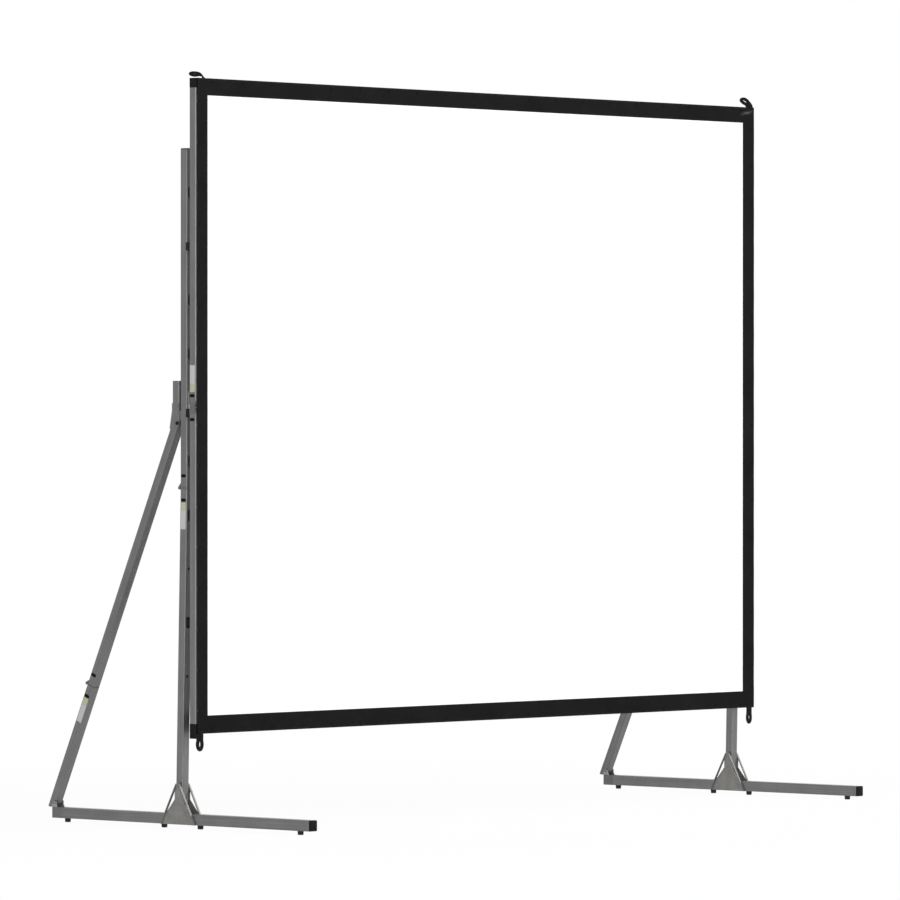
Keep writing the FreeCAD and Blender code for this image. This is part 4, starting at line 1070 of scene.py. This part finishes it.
# a blank label in two tones; way is +1 where the yellow end is nearer the joint below it
def makeLabel(name, side, middle, up, start, way):
    corners, faces, finish = [], [], []
    yellowEnd = start + way * labels["yellowHeight"]
    paleStart = yellowEnd + way * labels["seam"]
    paleEnd = paleStart + way * labels["paleHeight"]
    yellowRounds = (False, False, True, True) if way > 0 else (True, True, False, False)
    paleRounds = (True, True, False, False) if way > 0 else (False, False, True, True)
    width = labels["width"]
    parts = ((start, yellowEnd, yellowRounds), (paleStart, paleEnd, paleRounds))
    for index, (a, b, rounds) in enumerate(parts):
        before = len(faces)
        addPlate(corners, faces, side, middle, up, width, min(a, b), max(a, b), rounds)
        finish += [index] * (len(faces) - before)
    return newPiece(name, corners, faces, ("yellowLabel", "paleLabel"), finish, False)


straightUp = Vector((0, 0, 1))


# directions along and across a tube that leans
def tubeAxes(lean):
    return Vector((0, -math.sin(lean), math.cos(lean))), Vector((0, math.cos(lean), math.sin(lean)))


# a label on the left side of a tube of a leg, whose joint's pin lies behind the tube
def legLabel(name, joint, sideSign, lean, half, pinBeyond, start):
    up, aside = tubeAxes(lean)
    middle = jointPlace(joint) - aside * (half + pinBeyond)
    middle.x = sideSign * rigging["legX"] - half
    return makeLabel(name, -1, middle, up, start, -1)


for sideName, sideSign in (("left", -1), ("right", 1)):
    middle = Vector((sideSign * rigging["frameOutside"], rigging["frameY"], rigging["foldZ"]))
    name = sideName + "FrameLabel"
    label = makeLabel(name, sideSign, middle, straightUp, labels["frameStart"], 1)
    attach(label, "upper_frame")
    upright = legLabel(
        sideName + "UprightLabel", sideName + "_leg_fold", sideSign, legLean,
        rigging["uprightHalf"], rigging["legPinBeyond"], labels["uprightStart"],
    )
    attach(upright, sideName + "_lower_upright")
    brace = legLabel(
        sideName + "BraceLabel", sideName + "_knee_fold", sideSign, braceLean,
        rigging["braceHalf"], rigging["kneePinBeyond"], labels["braceStart"],
    )
    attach(brace, sideName + "_lower_brace")
print("labels made")

feet = {
    "segments": 40,
    "innerPlace": 0.088,  # from the middle of the base
    "radius": 0.0099,  # largest in the profile
    # radius and height, from the recess of the screw round the outside to the top
    "profile": (
        (0.0, 0.0030), (0.0024, 0.0030), (0.0026, 0.0022), (0.0040, 0.0022), (0.0041, 0.0),
        (0.0076, 0.0), (0.0085, 0.0007), (0.0089, 0.0018), (0.00905, 0.0052), (0.00885, 0.0058),
        (0.0091, 0.0064), (0.0095, 0.0104), (0.0093, 0.0110), (0.00955, 0.0116), (0.0099, 0.0136),
        (0.0097, 0.0140), (0.0, 0.0140),
    ),
    "screwRings": 3,
}


def addTurned(corners, faces, finish, centreX, centreY, scale):
    count, profile = feet["segments"], [(radius * scale, z) for radius, z in feet["profile"]]
    rings = []
    for radius, z in profile:
        if radius == 0.0:
            rings.append([len(corners)] * count)
            corners.append((centreX, centreY, z))
            continue
        rings.append([len(corners) + i for i in range(count)])
        for i in range(count):
            turn = 2 * math.pi * i / count
            x, y = centreX + radius * math.cos(turn), centreY + radius * math.sin(turn)
            corners.append((x, y, z))
    for level, (inner, outer) in enumerate(zip(rings, rings[1:])):
        for i in range(count):
            j = (i + 1) % count
            face = [inner[i], inner[j], outer[j], outer[i]]
            face = [corner for k, corner in enumerate(face) if corner not in face[:k]]
            faces.append(tuple(reversed(face)))
            finish.append(1 if level < feet["screwRings"] else 0)


def makeFeet(side):
    low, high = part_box(side + "_rubber_feet")
    radius = (high.x - low.x) / 2
    centreX, centreY = (low.x + high.x) / 2, (low.y + high.y) / 2
    inner = feet["innerPlace"]
    places = (low.y + radius, centreY - inner, centreY + inner, high.y - radius)
    corners, faces, finish = [], [], []
    for y in places:
        addTurned(corners, faces, finish, centreX, y, radius / feet["radius"])
    return newPiece(side + "Feet", corners, faces, ("footRubber", "zincPlate"), finish, True, 40)


caps = {
    "thickness": 0.004,
    "cornerPoints": 7,
    "corner": 0.12,  # share of the size that is rounded
    # share of the width and share of the thickness, outwards
    "profile": (
        (0.90, 0.0), (1.0, 0.0), (1.0, 0.10), (0.992, 0.16), (0.992, 0.52), (0.985, 0.68),
        (0.965, 0.80), (0.93, 0.86), (0.62, 0.955), (0.3, 0.99), (0.0, 1.0),
    ),
}


# a domed push-in cap on the end of a square tube
def makeCap(name, outward, centre, size):
    axis, thickness = Vector(outward), caps["thickness"]
    first = Vector((1, 0, 0))
    second = axis.cross(first)
    corners, faces = [], []
    radius = size * caps["corner"]
    inner = size / 2 - radius
    outline = []
    for signU, signV, begin in ((1, 1, 0), (-1, 1, 90), (-1, -1, 180), (1, -1, 270)):
        for step in range(caps["cornerPoints"]):
            turn = math.radians(begin + 90 * step / (caps["cornerPoints"] - 1))
            outline.append((
                signU * inner + radius * math.cos(turn), signV * inner + radius * math.sin(turn)
            ))
    count = len(outline)
    origin = Vector(centre)
    for share, lift in caps["profile"]:
        for u, v in outline[: 1 if share == 0.0 else count]:
            flat = origin + first * u * share + second * v * share
            corners.append(tuple(flat + axis * thickness * lift))
    levels = len(caps["profile"]) - 1
    for level in range(levels):
        for i in range(count):
            j = (i + 1) % count
            a, b = level * count + i, level * count + j
            if level == levels - 1:
                faces.append((a, b, levels * count))
            else:
                faces.append((a, b, b + count, a + count))
    corners[levels * count] = tuple(origin + axis * thickness)
    faces.append(tuple(reversed(range(count))))
    return newPiece(name, corners, faces, ("blackPlastic",), None, True, 38)


def capOn(name, body, outward, centre, size):
    cap = makeCap(name, outward, centre, size)
    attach(cap, body)
    return cap


for sideName, sideSign in (("left", -1), ("right", 1)):
    rubber = makeFeet(sideName)
    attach(rubber, sideName + "_base")
    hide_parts(sideName + "_rubber_feet")
    low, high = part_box(sideName + "_base_end_plug")
    size = high.x - low.x
    centre = ((low.x + high.x) / 2, low.y + caps["thickness"], (low.z + high.z) / 2)
    plug = capOn(sideName + "BaseCap", sideName + "_base", (0, -1, 0), centre, size)
    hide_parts(sideName + "_base_end_plug")
low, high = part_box("upright_caps")
for sideName, sideSign in (("left", -1), ("right", 1)):
    centre = (sideSign * rigging["legX"], rigging["uprightY"], high.z - caps["thickness"])
    size = 2 * rigging["uprightHalf"]
    capOn(sideName + "UprightCap", "lower_frame", (0, 0, 1), centre, size)
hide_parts("upright_caps")
print("feet and caps made")

studio = {
    "skyLight": 0.62,
    "keyPlace": (-7.5, -11.5, 7.5),
    "keySize": 6.0,
    "keyPower": 520.0,
    "sidePlace": (-12.5, -12.0, 1.7),
    "sideSize": 1.4,
    "sidePower": 760.0,
    "highPlace": (10.5, -5.5, 9.5),
    "highSize": 2.5,
    "highPower": 420.0,
    "fillPlace": (8.0, -10.0, 4.0),
    "fillSize": 5.0,
    "fillPower": 250.0,
    "aim": (0.0, 0.0, 1.3),
    "floorReach": 60.0,
    "fadeStart": 1.4,
    "fadeEnd": 4.6,
    "floorColour": (0.86, 0.86, 0.86),
    "nearGlow": 0.95,
}


# 1 where the camera looks straight at the background or sees it in metal or glass
def seenAsBackground(board):
    seen = board.add("ShaderNodeLightPath", None, (), "Is Camera Ray")
    paths = seen.socket.node.outputs
    for label in ("Is Glossy Ray", "Is Transmission Ray"):
        seen = seen.maths("MAXIMUM", seen, Signal(board, paths[label]))
    return seen


def makeSky():
    world = bpy.data.worlds.new("studio")
    world.use_nodes = True
    bpy.context.scene.world = world
    board = Board(world.node_tree)
    seen = seenAsBackground(board)
    grey = (studio["skyLight"],) * 3
    colour = board.mix(seen, grey, (1, 1, 1))
    glow = board.add("ShaderNodeBackground", None, {"Color": colour, "Strength": 1.0})
    board.add("ShaderNodeOutputWorld", None, {"Surface": glow})


def makeFloor():
    reach = studio["floorReach"]
    mesh = bpy.data.meshes.new("floor")
    corners = [(-reach, -reach, 0), (reach, -reach, 0), (reach, reach, 0), (-reach, reach, 0)]
    mesh.from_pydata(corners, [], [(0, 1, 2, 3)])
    floor = bpy.data.objects.new("floor", mesh)
    bpy.context.scene.collection.objects.link(floor)
    material, board = newFinish("floorPaper")
    place = board.place()
    far = board.add("ShaderNodeVectorMath", {"operation": "LENGTH"}, (place,), "Value")
    fade = board.remap(far, studio["fadeStart"], studio["fadeEnd"], studio["nearGlow"], 1.0)
    seen = seenAsBackground(board)
    grain = board.cloud(place, 40.0, 3.0, 0.5)
    paper = board.mix(grain, studio["floorColour"], tuple(c + 0.02 for c in studio["floorColour"]))
    matt = board.add("ShaderNodeBsdfDiffuse", None, {"Color": paper})
    glow = board.add("ShaderNodeEmission", None, {"Color": (1, 1, 1, 1), "Strength": 1.0})
    both = board.add("ShaderNodeMixShader", None, (fade * seen, matt, glow))
    board.add("ShaderNodeOutputMaterial", None, {"Surface": both})
    mesh.materials.append(material)


def makeLamp(name, place, size, power):
    lamp = bpy.data.lights.new(name, "AREA")
    lamp.shape = "SQUARE"
    lamp.size = size
    lamp.energy = power
    holder = bpy.data.objects.new(name, lamp)
    bpy.context.scene.collection.objects.link(holder)
    holder.location = place
    aim = Vector(studio["aim"]) - Vector(place)
    holder.rotation_euler = aim.to_track_quat("-Z", "Y").to_euler()


makeSky()
makeFloor()
makeLamp("keyLamp", studio["keyPlace"], studio["keySize"], studio["keyPower"])
makeLamp("sideLamp", studio["sidePlace"], studio["sideSize"], studio["sidePower"])
makeLamp("highLamp", studio["highPlace"], studio["highSize"], studio["highPower"])
makeLamp("fillLamp", studio["fillPlace"], studio["fillSize"], studio["fillPower"])
bpy.context.scene.view_settings.view_transform = "Standard"
print("studio lit")
